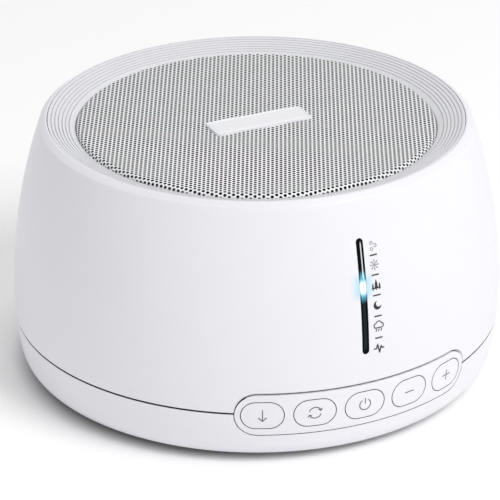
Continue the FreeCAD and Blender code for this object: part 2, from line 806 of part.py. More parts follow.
def switch_carrier():
    """Curved bracket that holds the flexible circuit and stands on two bosses in the base."""
    foot_low = base_floor + carrier_boss_height
    inner = carrier_face - carrier_wall
    body = sector(inner, carrier_face, foot_low, carrier_top, carrier_half_angle)
    body = body.fuse(sector(inner - carrier_foot, inner + 0.5, foot_low, foot_low + carrier_foot_thickness,
                            carrier_half_angle))
    for x, y in carrier_holes():
        body = body.cut(disc(board_screw_radius + 0.1, foot_low - 1,
                             foot_low + carrier_foot_thickness + 1, x, y))
    return clean(body.removeSplitter())


# Light bar, in a frame with its origin on the drum's side, Z along the bar and -Y outwards
bar_lean = math.asin((bar_height - widest_height) / upper_curve)


def in_bar_frame(shape):
    """Turns a shape from the light bar's own frame to its place in the drum's side."""
    copy = shape.copy()
    copy.rotate(Vec(0, 0, 0), Vec(1, 0, 0), -math.degrees(bar_lean))
    copy.translate(Vec(0, -side_radius(bar_height), bar_height))
    return copy


def stadium_bar(half_width, half_length, outside, depth):
    """An upright stadium prism from outside (negative is out of the drum) to a depth in the bar's frame."""
    w = half_width
    h = half_length - w
    a, b, c, d = Vec(-w, outside, -h), Vec(w, outside, -h), Vec(w, outside, h), Vec(-w, outside, h)
    edges = [
        Part.Arc(a, Vec(0, outside, -half_length), b).toShape(),
        Part.LineSegment(b, c).toShape(),
        Part.Arc(c, Vec(0, outside, half_length), d).toShape(),
        Part.LineSegment(d, a).toShape(),
    ]
    return clean(Part.Face(Part.Wire(edges)).extrude(Vec(0, depth - outside, 0)))


lens_seat = wall + (bar_length / 2 + bar_flange_extra / 2) ** 2 / (2 * upper_curve) + 0.15
lens_back = lens_seat + bar_flange_thickness
mask_back = lens_back + mask_depth
mask_half = (light_cells - 1) / 2 * cell_pitch + mask_end


def light_lens():
    """Smoked lens of the light bar, flush with the drum's side, with a flange behind the wall."""
    body = stadium_bar(bar_width / 2, bar_length / 2, -3, lens_back)
    body = in_bar_frame(body).common(drum(0, widest_height - 5, shoulder_height))
    flange = stadium_bar(bar_flange_width / 2, (bar_length + bar_flange_extra) / 2, lens_seat, lens_back)
    return clean(body.fuse(in_bar_frame(flange)).removeSplitter())


def ear_places():
    """Middle of each ear of the light mask, as (x, z) in the bar's frame: one pair to each side."""
    x = (mask_width + mask_ear) / 2
    z = mask_half - mask_ear_height / 2
    return [(sx * x, sz * z) for sx in (-1, 1) for sz in (-1, 1)]


def bar_rod(radius, near, far, x, z):
    """A rod along the depth of the bar's frame."""
    return Part.makeCylinder(radius, far - near, Vec(x, near, z), Vec(0, 1, 0))


def light_mask():
    """Opaque block with one cell for each lamp, screwed to the housing by two ears at each side."""
    body = block((-mask_width / 2, mask_width / 2), (lens_back, mask_back), (-mask_half, mask_half))
    for x, z in ear_places():
        ear = block((x - mask_ear / 2, x + mask_ear / 2), (mask_back - mask_ear_thickness, mask_back),
                    (z - mask_ear_height / 2, z + mask_ear_height / 2))
        body = body.fuse(ear)
    for n in range(light_cells):
        z = (n - (light_cells - 1) / 2) * cell_pitch
        body = body.cut(block((-cell_width / 2, cell_width / 2), (lens_back, mask_back),
                              (z - cell_height / 2, z + cell_height / 2)))
    for x, z in ear_places():
        body = body.cut(bar_rod(board_screw_radius + 0.1, lens_back, mask_back, x, z))
    return in_bar_frame(clean(body.removeSplitter()))


def light_board():
    body = block((-mask_width / 2, mask_width / 2), (mask_back, mask_back + light_board_thickness),
                 (-mask_half, mask_half))
    return in_bar_frame(body)


def light_lamps():
    lamps = []
    for n in range(light_cells):
        z = (n - (light_cells - 1) / 2) * cell_pitch
        lamps.append(in_bar_frame(block((-led_width / 2, led_width / 2), (mask_back - led_depth, mask_back),
                                        (z - led_height / 2, z + led_height / 2))))
    return Part.makeCompound(lamps)


def light_posts():
    """Posts on the inside of the housing that the light mask's ears rest on."""
    face = mask_back - mask_ear_thickness
    return [in_bar_frame(bar_rod(light_post_radius, 0.4, face, x, z)) for x, z in ear_places()]


def light_screw_holes():
    tip = mask_back - light_screw_length - 0.3
    return [in_bar_frame(bar_rod(board_screw_radius + screw_clearance, tip, mask_back, x, z))
            for x, z in ear_places()]


def light_screws():
    one = screw(board_head_radius, board_head_height, board_screw_radius, light_screw_length)
    one.rotate(Vec(0, 0, 0), Vec(1, 0, 0), 90)
    return Part.makeCompound([in_bar_frame(placed(one, x, mask_back, z)) for x, z in ear_places()])


# Main board and what stands on it
def main_board():
    """Circuit board with a tongue at the rear that reaches into the base wall's thinned place."""
    body = block((-board_half_width, board_half_width), (board_front, board_shoulder),
                 (board_bottom, board_top))
    tongue = block((-tongue_half_width, tongue_half_width), (board_shoulder - 1, board_rear),
                   (board_bottom, board_top))
    reach = drum(port_wall + port_clearance, base_bottom, seam_height)
    body = body.fuse(tongue.common(reach))
    for x, y in board_holes():
        body = body.cut(disc(board_screw_radius + 0.1, board_bottom - 1, board_top + 1, x, y))
    return clean(body.removeSplitter())


def power_socket():
    """Small five-volt power receptacle: a rounded metal shell with its tongue."""
    half_w, half_h = socket_width / 2, socket_height / 2
    start = socket_mouth - socket_length
    outer = stadium(half_w, half_h, start, socket_mouth, socket_middle)
    hollow = stadium(half_w - socket_wall, half_h - socket_wall, start + 1.0, socket_mouth + 1,
                     socket_middle)
    tongue = block((-socket_width * 0.37, socket_width * 0.37), (-(socket_mouth - 1.0), -(start + 0.5)),
                   (socket_middle - socket_tongue / 2, socket_middle + socket_tongue / 2))
    return turn(clean(outer.cut(hollow).fuse(tongue)), math.pi)


def chip(x, y, side_x, side_y, height):
    body = block((x - side_x / 2, x + side_x / 2), (y - side_y / 2, y + side_y / 2),
                 (board_top, board_top + height))
    top = [e for e in body.Edges if all(abs(v.Z - board_top - height) < 1e-6 for v in e.Vertexes)]
    return clean(body.makeChamfer(0.2, top))


def control_chip():
    return chip(0, control_chip_y, control_chip_side, control_chip_side, chip_height)


def amplifier_chip():
    return chip(amplifier_x, amplifier_y, amplifier_width, amplifier_length, chip_height)


def capacitors():
    cans = []
    for x in (-can_pitch * 1.6, -can_pitch * 0.6):
        can = disc(can_radius, board_top, board_top + can_height, x, can_row)
        rims = [e for e in can.Edges if isinstance(e.Curve, Part.Circle)]
        cans.append(clean(can.makeFillet(0.5, rims)))
    return Part.makeCompound(cans)


def wire_headers():
    """White plug headers for the driver's leads, the keys' ribbon and the light bar's ribbon."""
    headers = []
    wide = ribbon_width + 2 * header_ears
    places = [(lead_header_x, lead_header_y, lead_header_width), (key_ribbon_x, ribbon_header_y, wide),
              (light_ribbon_x, ribbon_header_y, wide)]
    for x, y, width in places:
        headers.append(block((x - width / 2, x + width / 2), (y - header_depth / 2, y + header_depth / 2),
                             (board_top, header_top)))
    return Part.makeCompound(headers)


def tube(points, radius):
    """A round wire along straight runs joined by tangent arcs, each as large as its runs allow."""
    places = [Vec(*p) for p in points]
    edges = []
    start = places[0]
    for before, corner, after in zip(places[:-2], places[1:-1], places[2:]):
        back, on = before - corner, after - corner
        half_turn = (math.pi - back.getAngle(on)) / 2
        bend = 0.45 * min(back.Length, on.Length) / math.tan(half_turn)
        cut = bend * math.tan(half_turn)
        a = corner + back.normalize() * cut
        b = corner + on.normalize() * cut
        inward = (a + b) * 0.5 - corner
        middle = corner + inward.normalize() * (bend / math.cos(half_turn) - bend)
        edges.append(Part.LineSegment(start, a).toShape())
        edges.append(Part.Arc(a, middle, b).toShape())
        start = b
    edges.append(Part.LineSegment(start, places[-1]).toShape())
    path = Part.Wire(edges)
    circle = Part.Wire(Part.makeCircle(radius, places[0], places[1] - places[0]))
    return clean(path.makePipeShell([circle], True, False))


def speaker_lead(side):
    """One of the driver's two leads, from the header on the board up to its solder lug."""
    x = lead_header_x + side * 1.8
    lug_x = side * lug_spacing / 2
    lug_y = -(magnet_radius - 1.0 + basket_wall + terminal_depth + lug_length / 2)
    return tube([(x, lead_header_y, header_top), (x, lead_header_y, header_top + 6),
                 (x + 6, lead_header_y - 8, header_top + 9), (27 + side * 1.5, 0, header_top + 10),
                 (23 + side * 1.5, -16, header_top + 12), (12 + side * 2.0, -27, lug_underside - 8 + side),
                 (lug_x, lug_y, lug_underside - 6), (lug_x, lug_y, lug_underside)], lead_radius)


def ribbon(points, x):
    """A flat cable that bends only in the YZ plane, from (y, z) points, centred on x."""
    path = [Vec(0, y, z) for y, z in points]
    half = ribbon_thickness / 2
    left, right = [], []
    for n, place in enumerate(path):
        before = (place - path[n - 1]).normalize() if n else None
        after = (path[n + 1] - place).normalize() if n + 1 < len(path) else None
        along = before or after
        if before and after:
            along = (before + after).normalize()
        side = Vec(0, -along.z, along.y)
        reach = half / side.dot(Vec(0, -(after or before).z, (after or before).y))
        left.append(place + side * reach)
        right.append(place - side * reach)
    outline = Part.makePolygon(left + right[::-1] + [left[0]])
    body = Part.Face(outline).extrude(Vec(ribbon_width, 0, 0))
    body.translate(Vec(x - ribbon_width / 2, 0, 0))
    return clean(body)


def key_ribbon():
    """From its header to the top of the flexible circuit's carrier."""
    x = key_ribbon_x
    face = -math.sqrt((carrier_face - carrier_wall) ** 2 - (abs(x) + ribbon_width / 2) ** 2)
    y = ribbon_header_y
    top = header_top
    return ribbon([(y, top), (y, top + 3), (y - 6, top + 6), (face + 6, top + 5.5),
                   (face + 0.4, top + 4)], x)


def light_ribbon():
    """From its header up to the back of the light bar's board."""
    y = ribbon_header_y
    top = header_top
    end = in_bar_frame(Part.Vertex(0, mask_back + light_board_thickness + 0.25, -mask_half + 3)).Point
    return ribbon([(y, top), (y, top + 4), (y - 5, top + 5), (end.y + 8, end.z - 5),
                   (end.y + 1.5, end.z - 3), (end.y, end.z)], light_ribbon_x)


def build():
    nodes = {
        "top_housing": top_housing(),
        "base_shell": base_shell(),
        "trim_ring": trim_ring(),
        "speaker_grille": speaker_grille(),
        "grille_cloth": grille_cloth(),
        "badge_plate": badge_plate(),
        "speaker_gasket": speaker_gasket(),
        "speaker_basket": speaker_basket(),
        "speaker_surround": speaker_surround(),
        "speaker_cone": speaker_cone(),
        "dust_cap": dust_cap(),
        "voice_coil": voice_coil(),
        "spider": spider(),
        "top_washer": top_washer(),
        "speaker_magnet": speaker_magnet(),
        "magnet_yoke": magnet_yoke(),
        "speaker_terminals": speaker_terminals(),
        "speaker_screws": speaker_screws(),
        "case_screws": case_screws(),
        "rubber_feet": rubber_feet(),
        "keypad_panel": keypad_panel(),
        "tact_switches": tact_switches(),
        "key_flex": key_flex(),
        "switch_carrier": switch_carrier(),
        "carrier_screws": carrier_screws(),
        "light_lens": light_lens(),
        "light_mask": light_mask(),
        "light_board": light_board(),
        "light_lamps": light_lamps(),
        "light_screws": light_screws(),
        "main_board": main_board(),
        "board_screws": board_screws(),
        "power_socket": power_socket(),
        "control_chip": control_chip(),
        "amplifier_chip": amplifier_chip(),
        "capacitors": capacitors(),
        "wire_headers": wire_headers(),
        "speaker_lead_red": speaker_lead(1),
        "speaker_lead_black": speaker_lead(-1),
        "key_ribbon": key_ribbon(),
        "light_ribbon": light_ribbon(),
    }
    for index, name in enumerate(key_names):
        nodes[name + "_key"] = key_cap(index)
        nodes[name + "_plunger"] = switch_plunger(index)
    return nodes


os.makedirs("parts", exist_ok=True)
for name, shape in build().items():
    shape.exportStep("parts/" + name + ".step")
    print(f"{name:20s} solids {len(shape.Solids)}  volume {shape.Volume:10.1f} mm3  valid {shape.isValid()}")
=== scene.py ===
import math

import bpy
import numpy as np
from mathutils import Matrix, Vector


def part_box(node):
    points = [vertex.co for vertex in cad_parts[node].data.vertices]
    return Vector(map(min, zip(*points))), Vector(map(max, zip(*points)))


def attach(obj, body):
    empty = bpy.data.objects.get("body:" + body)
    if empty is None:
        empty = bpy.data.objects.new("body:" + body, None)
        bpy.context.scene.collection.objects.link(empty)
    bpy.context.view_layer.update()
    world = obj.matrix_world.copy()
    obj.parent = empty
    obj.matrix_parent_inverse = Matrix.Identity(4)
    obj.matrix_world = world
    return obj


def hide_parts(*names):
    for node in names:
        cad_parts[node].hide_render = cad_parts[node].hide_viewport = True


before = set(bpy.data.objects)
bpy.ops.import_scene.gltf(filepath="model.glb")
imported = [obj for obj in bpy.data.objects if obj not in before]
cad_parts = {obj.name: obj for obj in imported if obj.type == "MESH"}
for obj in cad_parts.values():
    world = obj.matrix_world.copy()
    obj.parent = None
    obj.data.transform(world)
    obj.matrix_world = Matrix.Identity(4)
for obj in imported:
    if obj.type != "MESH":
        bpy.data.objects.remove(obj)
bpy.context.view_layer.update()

mm = 0.001
tiny = 1e-9          # keeps a division from meeting zero

# The drum's side: two arcs that meet, upright, at the widest place
drum = {
    "radius": 57.0 * mm,
    "widestHeight": 18.0 * mm,
    "upperCurve": 128.0 * mm,
    "lowerCurve": 65.0 * mm,
    "shoulderHeight": 60.05 * mm,
}


def sideRadius(height):
    # arc of radius c whose middle lies c inside the widest place: r = R - c + sqrt(c^2 - h^2)
    curve = np.where(height >= drum["widestHeight"], drum["upperCurve"], drum["lowerCurve"])
    rise = height - drum["widestHeight"]
    return drum["radius"] - curve + np.sqrt(np.maximum(curve ** 2 - rise ** 2, 0.0))


def sideNormal(points):
    # the normal points from the arc's middle to the point, turned to the point's own azimuth
    curve = np.where(points[:, 2] >= drum["widestHeight"], drum["upperCurve"], drum["lowerCurve"])
    rise = (points[:, 2] - drum["widestHeight"]) / curve
    outward = points[:, :2] / np.maximum(np.hypot(points[:, 0], points[:, 1]), tiny)[:, None]
    return np.column_stack([outward * np.sqrt(1.0 - rise ** 2)[:, None], rise])


def onDrum(across, height, lift):
    # a place on the side: azimuth = across / radius from the front, pushed out by lift
    radius = sideRadius(height) + lift
    azimuth = across / drum["radius"]
    return np.column_stack([radius * np.sin(azimuth), -radius * np.cos(azimuth), height])


# Materials

def linearColour(hexCode):
    # sRGB hex to linear: ((c + 0.055) / 1.055) ^ 2.4, or c / 12.92 near black
    channels = [int(hexCode[i:i + 2], 16) / 255.0 for i in (0, 2, 4)]
    return [c / 12.92 if c <= 0.04045 else ((c + 0.055) / 1.055) ** 2.4 for c in channels] + [1.0]


def addNode(material, kind, settings=None, inputs=None):
    # one node with its settings, and its inputs given as values or as sockets to link
    tree = material.node_tree
    node = tree.nodes.new(kind)
    for name, value in (settings or {}).items():
        setattr(node, name, value)
    for name, value in (inputs or {}).items():
        socket = node.inputs[name]
        if isinstance(value, bpy.types.NodeSocket):
            tree.links.new(value, socket)
        else:
            socket.default_value = value
    return node


def newMaterial(name, colour, roughness, **sockets):
    material = bpy.data.materials.new(name)
    material.use_nodes = True
    shader = material.node_tree.nodes["Principled BSDF"]
    shader.inputs["Base Color"].default_value = linearColour(colour)
    shader.inputs["Roughness"].default_value = roughness
    for socket, value in sockets.items():
        shader.inputs[socket.replace("_", " ")].default_value = value
    return material, shader


# Finer layers of noise on top of the first
noiseDetail = {"grain": 2.0, "blotch": 3.0}


def grain(material, shader, size, height, stretch=(1.0, 1.0, 1.0)):
    # moulded or sprayed grain as bump: noise whose cells are size metres across, height metres deep
    place = addNode(material, "ShaderNodeTexCoord")
    scaled = addNode(material, "ShaderNodeMapping", {}, {
        "Vector": place.outputs["Object"], "Scale": stretch})
    noise = addNode(material, "ShaderNodeTexNoise", {}, {
        "Vector": scaled.outputs["Vector"], "Scale": 1.0 / size, "Detail": noiseDetail["grain"]})
    bump = addNode(material, "ShaderNodeBump", {}, {"Height": noise.outputs["Fac"], "Distance": height})
    material.node_tree.links.new(bump.outputs["Normal"], shader.inputs["Normal"])


def blotch(material, shader, socket, low, high, size):
    # slow variation of a socket between two values, over size metres
    place = addNode(material, "ShaderNodeTexCoord")
    noise = addNode(material, "ShaderNodeTexNoise", {}, {
        "Vector": place.outputs["Object"], "Scale": 1.0 / size, "Detail": noiseDetail["blotch"]})
    if isinstance(low, str):
        mix = addNode(material, "ShaderNodeMix", {"data_type": "RGBA"}, {0: noise.outputs["Fac"]})
        colours = [end for end in mix.inputs if end.type == "RGBA"]
        colours[0].default_value = linearColour(low)
        colours[1].default_value = linearColour(high)
        result = [end for end in mix.outputs if end.type == "RGBA"][0]
    else:
        spread = addNode(material, "ShaderNodeMapRange", {}, {
            "Value": noise.outputs["Fac"], "To Min": low, "To Max": high})
        result = spread.outputs["Result"]
    material.node_tree.links.new(result, shader.inputs[socket])


moulded = {"ior": 1.5, "drift": 14 * mm, "grain": 0.35 * mm, "depth": 0.004 * mm}


def mouldedPlastic(name, colour, paler, roughness):
    # ABS or nylon from a fine spark-eroded mould: satin, with a faint grain and hardly any drift
    material, shader = newMaterial(name, colour, roughness, IOR=moulded["ior"])
    blotch(material, shader, "Base Color", colour, paler, moulded["drift"])
    grain(material, shader, moulded["grain"], moulded["depth"])
    return material


plated = {"cloud": 4 * mm, "lines": 0.2 * mm, "depth": 0.003 * mm, "stretch": (0.1, 1.0, 1.0)}


def platedSteel(name, colour, darker, roughness):
    # pressed and plated sheet, or drawn copper: metal with faint rolling lines and a cloudy surface
    material, shader = newMaterial(name, colour, roughness, Metallic=1.0)
    blotch(material, shader, "Base Color", darker, colour, plated["cloud"])
    grain(material, shader, plated["lines"], plated["depth"], plated["stretch"])
    return material


rubbery = {"ior": 1.52, "roughness": 0.75, "chalk": 3 * mm, "skin": 0.25 * mm, "depth": 0.012 * mm}


def softRubber(name, colour, paler):
    # matt rubber, foam, felted paper or ground ferrite: wide highlights, chalky, with a coarse skin
    material, shader = newMaterial(name, colour, rubbery["roughness"], IOR=rubbery["ior"])
    blotch(material, shader, "Base Color", colour, paler, rubbery["chalk"])
    grain(material, shader, rubbery["skin"], rubbery["depth"])
    return material


# A wave node makes one band in 0.314 of its unit, so bands over thread gives one band for each thread
woven = {"roughness": 0.9, "bands": 0.314, "depth": 0.05 * mm}


def wovenCloth(name, colour, paler, thread):
    # plain weave: two crossed waves, one thread apart, as bump and as colour
    material, shader = newMaterial(name, colour, woven["roughness"])
    place = addNode(material, "ShaderNodeTexCoord")
    warp = addNode(material, "ShaderNodeTexWave", {"bands_direction": "X"}, {
        "Vector": place.outputs["Object"], "Scale": woven["bands"] / thread})
    weft = addNode(material, "ShaderNodeTexWave", {"bands_direction": "Y"}, {
        "Vector": place.outputs["Object"], "Scale": woven["bands"] / thread})
    weave = addNode(material, "ShaderNodeMath", {"operation": "MULTIPLY"}, {
        0: warp.outputs["Fac"], 1: weft.outputs["Fac"]})
    bump = addNode(material, "ShaderNodeBump", {}, {
        "Height": weave.outputs["Value"], "Distance": woven["depth"]})
    material.node_tree.links.new(bump.outputs["Normal"], shader.inputs["Normal"])
    ramp = addNode(material, "ShaderNodeValToRGB", {}, {"Fac": weave.outputs["Value"]})
    ramp.color_ramp.elements[0].color = linearColour(colour)
    ramp.color_ramp.elements[1].color = linearColour(paler)
    material.node_tree.links.new(ramp.outputs["Color"], shader.inputs["Base Color"])
    return material


powder = {"ior": 1.5, "roughness": 0.38, "drift": 9 * mm, "peel": 0.5 * mm, "depth": 0.006 * mm}


def powderCoat(name, colour, paler):
    # baked powder on steel sheet: satin with orange peel about half a millimetre across
    material, shader = newMaterial(name, colour, powder["roughness"], IOR=powder["ior"])
    blotch(material, shader, "Base Color", colour, paler, powder["drift"])
    grain(material, shader, powder["peel"], powder["depth"])
    return material


laminate = {"roughness": 0.28, "thread": 0.45 * mm}


def circuitBoard(name, colour, paler):
    # glossy solder mask or film over copper: a fine weave shows faintly through it
    material = wovenCloth(name, colour, paler, laminate["thread"])
    shader = material.node_tree.nodes["Principled BSDF"]
    shader.inputs["Roughness"].default_value = laminate["roughness"]
    return material


def inside(material, value, low, high, soft):
    # 1 where a value lies between low and high, fading out over soft at each end
    edges = [(low - soft, low), (high + soft, high)]
    ramps = [addNode(material, "ShaderNodeMapRange", {"interpolation_type": "SMOOTHSTEP"}, {
        "Value": value, "From Min": outer, "From Max": inner}) for outer, inner in edges]
    return addNode(material, "ShaderNodeMath", {"operation": "MULTIPLY"}, {
        0: ramps[0].outputs["Result"], 1: ramps[1].outputs["Result"]}).outputs["Value"]


# The low specular level keeps the pale studio from greying the bar
acrylic = {"colour": "050607", "ior": 1.49, "roughness": 0.12, "specular": 0.06}


def smokedAcrylic(name, lit):
    # polished dark acrylic; one lamp shines through it, white in the middle with a cyan fringe,
    # and two faint streaks along it are a painted highlight
    material, shader = newMaterial(name, acrylic["colour"], acrylic["roughness"], IOR=acrylic["ior"],
                                   Specular_IOR_Level=acrylic["specular"])
    place = addNode(material, "ShaderNodeTexCoord")
    parts = addNode(material, "ShaderNodeSeparateXYZ", {}, {"Vector": place.outputs["Object"]})
    glow = None
    for colour, across, along, soft in lit["glows"]:
        mask = addNode(material, "ShaderNodeMath", {"operation": "MULTIPLY"}, {
            0: inside(material, parts.outputs["X"], across[0] * mm, across[1] * mm, soft[0] * mm),
            1: inside(material, parts.outputs["Z"], along[0] * mm, along[1] * mm, soft[1] * mm)})
        tint = addNode(material, "ShaderNodeVectorMath", {"operation": "SCALE"}, {
            0: linearColour(colour)[:3], "Scale": mask.outputs["Value"]}).outputs["Vector"]
        if glow:
            both = addNode(material, "ShaderNodeVectorMath", {"operation": "ADD"}, {0: glow, 1: tint})
            tint = both.outputs["Vector"]
        glow = tint
    material.node_tree.links.new(glow, shader.inputs["Emission Color"])
    shader.inputs["Emission Strength"].default_value = lit["strength"]
    return material


def paintedLampSpill(material, shader, near):
    # painted light: the lit cell's glow is painted into the plastic's colour beside the lens, a pale
    # cyan, on the front only
    tree = material.node_tree
    place = addNode(material, "ShaderNodeTexCoord")
    parts = addNode(material, "ShaderNodeSeparateXYZ", {}, {"Vector": place.outputs["Object"]})
    both = addNode(material, "ShaderNodeMath", {"operation": "MULTIPLY"}, {
        0: inside(material, parts.outputs["X"], -near["across"], near["across"], near["soft"]),
        1: inside(material, parts.outputs["Z"], *near["heights"], near["soft"])})
    front = addNode(material, "ShaderNodeMath", {"operation": "MULTIPLY"}, {
        0: both.outputs["Value"],
        1: inside(material, parts.outputs["Y"], *near["front"], near["frontSoft"])})
    mix = addNode(material, "ShaderNodeMix", {"data_type": "RGBA"}, {0: front.outputs["Value"]})
    colours = [socket for socket in mix.inputs if socket.type == "RGBA"]
    tree.links.new(shader.inputs["Base Color"].links[0].from_socket, colours[0])
    colours[1].default_value = linearColour(near["colour"])
    result = [socket for socket in mix.outputs if socket.type == "RGBA"][0]
    tree.links.new(result, shader.inputs["Base Color"])


pad = {"roughness": 0.55, "smoothest": 0.48, "roughest": 0.62, "drift": 1.5 * mm}


def padPrint(name, colour):
    # pad-printed ink: thin, matt, a little uneven
    material, shader = newMaterial(name, colour, pad["roughness"])
    blotch(material, shader, "Roughness", pad["smoothest"], pad["roughest"], pad["drift"])
    return material


# Glows behind the lens, then two painted highlight streaks: colour, range across, range in height and
# soft edges, in mm
lamp = {
    "glows": [
        ("6CC0E2", (-0.4, 0.45), (39.6, 42.8), (0.4, 2.4)),
        ("FFFFFF", (-0.6, 0.6), (40.5, 41.5), (0.5, 1.7)),
        # painted highlight: these two streaks stand for reflections on the lens
        ("E2E9EE", (0.1, 0.28), (43.6, 50.4), (0.09, 1.0)),
        ("1E272F", (-0.2, 0.15), (27.5, 37.0), (0.3, 1.5)),
    ],
    "strength": 1.0,
    # painted light: the lit cell's cyan glow, painted on the plastic round the lens
    "spill": {
        "colour": "C2E7F4",
        "across": 0.9 * mm,
        "heights": (40.0 * mm, 42.4 * mm),
        "soft": 2.4 * mm,
        "front": (-60 * mm, -50 * mm),       # the range of y, so that the rear stays clear
        "frontSoft": 1 * mm,
    },
}

housingPlastic = mouldedPlastic("housingWhiteAbs", "F0EFF5", "F3F2F7", 0.4)
# painted light from the lit cell, on the housing beside the lens
paintedLampSpill(housingPlastic, housingPlastic.node_tree.nodes["Principled BSDF"], lamp["spill"])
ringPlastic = mouldedPlastic("ringWhiteAbs", "E6E6EA", "EAEAEE", 0.36)
keyPlastic = mouldedPlastic("keyWhiteAbs", "F0EFF5", "F3F2F7", 0.34)
# painted shade: a dark colour for the shade deep in gaps and seams, laid on their walls and floors
gapShadePaint = mouldedPlastic("paintedGapShade", "303134", "38393C", 0.6)
grilleSteel = powderCoat("grillePowderCoat", "F2F3F5", "F5F6F7")
badgeEnamel = powderCoat("badgeSatinEnamel", "F2F2F6", "F5F5F9")
footRubber = softRubber("footGreyRubber", "55575A", "626467")
blackRubber = softRubber("surroundButylRubber", "101112", "191A1B")
blackCloth = wovenCloth("acousticBlackCloth", "050505", "0C0C0C", 0.4 * mm)
foam = softRubber("gasketFoam", "1A1A1B", "232324")
steel = platedSteel("zincPlatedSteel", "BFC0BC", "A9AAA5", 0.32)
screwSteel = platedSteel("screwSteel", "A8A8A6", "8E8E8B", 0.3)
nickel = platedSteel("nickelShell", "D5D3CE", "C6C4BE", 0.2)
ferrite = softRubber("groundFerrite", "1B1B1C", "2A2A2B")
conePaper = softRubber("coneBlackPaper", "121213", "1D1D1E")
copper = platedSteel("enamelledCopper", "B5652E", "9C4F20", 0.3)
spiderCloth = wovenCloth("phenolicCloth", "9C7B3A", "C4A45C", 0.5 * mm)
phenolic = mouldedPlastic("phenolicBoard", "5B3A1C", "6B4826", 0.5)
blackPlastic = mouldedPlastic("blackAbs", "141415", "1C1C1D", 0.5)
switchPlastic = mouldedPlastic("switchBlackResin", "101011", "171718", 0.42)
plungerPlastic = mouldedPlastic("plungerAcetal", "D8CDB2", "E2D8C0", 0.35)
amberFilm = circuitBoard("amberPolyimide", "9A5410", "B5681C")
boardGreen = circuitBoard("greenSolderMask", "0C4A25", "13602F")
chipEpoxy = mouldedPlastic("chipBlackEpoxy", "0E0E0F", "151516", 0.55)
canSleeve = mouldedPlastic("canSleeve", "1A2242", "222C52", 0.25)
nylon = mouldedPlastic("headerNylon", "E6E0CE", "EFEADB", 0.45)
redLead = mouldedPlastic("redInsulation", "A81412", "B81F1C", 0.35)
blackLead = mouldedPlastic("blackInsulation", "0D0D0E", "151516", 0.35)
paleFilm = mouldedPlastic("ribbonFilm", "D9D9D6", "E2E2DF", 0.3)
lampResin = mouldedPlastic("lampResin", "F2EDC8", "F7F4DC", 0.25)
smokedLens = smokedAcrylic("smokedAcrylic", lamp)
# painted shade: near-black for the shade on the grille's hole walls and underside
paintedHoleShade = mouldedPlastic("paintedHoleWallShade", "0B0B0C", "101112", 0.9)
legendInk = padPrint("legendInk", "1C1E21")
fadedInk = padPrint("fadedLegendInk", "8E9196")
symbolInk = padPrint("symbolInk", "55585C")
print("materials ready")


# Meshes: corners nearer than weld are one, and edges sharper than crease stay sharp
surface = {"weld": 0.0005 * mm, "crease": math.radians(28)}


def meshObject(name, vertices, faces, material):
    mesh = bpy.data.meshes.new(name)
    mesh.from_pydata(vertices.tolist(), [], faces if isinstance(faces, list) else faces.tolist())
    mesh.update()
    mesh.materials.append(material)
    piece = bpy.data.objects.new(name, mesh)
    bpy.context.scene.collection.objects.link(piece)
    return piece


def mergedCopy(name, node, material):
    # the node's own solid, its loose triangles joined at their shared corners
    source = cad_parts[node].data
    points = np.empty(len(source.vertices) * 3)
    source.vertices.foreach_get("co", points)
    points = points.reshape(-1, 3)
    corners = np.empty(len(source.loops), dtype=int)
    source.loops.foreach_get("vertex_index", corners)
    cells = np.round(points / surface["weld"]).astype(np.int64)
    keys, inverse = np.unique(cells, axis=0, return_inverse=True)
    firsts = np.zeros(len(keys), dtype=int)
    firsts[inverse.ravel()] = np.arange(len(points))
    triangles = inverse.ravel()[corners].reshape(-1, 3)
    whole = (triangles[:, 0] != triangles[:, 1]) & (triangles[:, 1] != triangles[:, 2])
    whole &= triangles[:, 0] != triangles[:, 2]
    piece = meshObject(name, points[firsts], triangles[whole], material)
    piece.data.shade_smooth()
    piece.data.set_sharp_from_angle(angle=surface["crease"])
    return piece


exact = {
    "reach": 0.02 * mm,           # a corner this near the drum's side lies on it,
    "agree": 0.985,               # if its face looks the same way: the cosine between the two
    "sideways": 0.02,             # a turned face looks straight away from the axis: the sine
    "axis": 3 * mm,               # corners nearer the axis are left alone
    "belowShoulder": 1 * mm,      # the shells' turned faces start this far below the shoulder
}


def exactNormals(piece, onSide):
    # round surfaces get the normals of the true surface: the drum's arc, or the face's own cone
    mesh = piece.data
    count = len(mesh.loops)
    normals = np.empty(count * 3, dtype=np.float32)
    mesh.corner_normals.foreach_get("vector", normals)
    normals = normals.reshape(-1, 3).astype(float)
    points = np.empty(len(mesh.vertices) * 3)
    mesh.vertices.foreach_get("co", points)
    points = points.reshape(-1, 3)
    corners = np.empty(count, dtype=int)
    mesh.loops.foreach_get("vertex_index", corners)
    faceNormals = np.empty(len(mesh.polygons) * 3, dtype=np.float32)
    mesh.polygons.foreach_get("normal", faceNormals)
    faceNormals = np.repeat(faceNormals.reshape(-1, 3), 3, axis=0).astype(float)
    spots = points[corners]
    radius = np.hypot(spots[:, 0], spots[:, 1])
    if onSide:
        true = sideNormal(spots)
        near = np.abs(radius - sideRadius(spots[:, 2])) < exact["reach"]
        near &= (true * faceNormals).sum(axis=1) > exact["agree"]
        normals[near] = true[near]
    middles = spots.reshape(-1, 3, 3).mean(axis=1)
    middles = np.repeat(middles, 3, axis=0)
    flatway = middles[:, :2] / np.maximum(np.hypot(middles[:, 0], middles[:, 1]), tiny)[:, None]
    radialPart = (faceNormals[:, :2] * flatway).sum(axis=1)
    sideways = np.abs(faceNormals[:, 0] * flatway[:, 1] - faceNormals[:, 1] * flatway[:, 0])
    ownway = spots[:, :2] / np.maximum(radius, tiny)[:, None]
    cone = np.column_stack([ownway * radialPart[:, None], faceNormals[:, 2]])
    turned = (sideways < exact["sideways"]) & (radius > exact["axis"])
    if onSide:
        turned &= ~near & (spots[:, 2] > drum["shoulderHeight"] - exact["belowShoulder"])
    normals[turned] = cone[turned] / np.linalg.norm(cone[turned], axis=1)[:, None]
    mesh.normals_split_custom_set(normals.tolist())
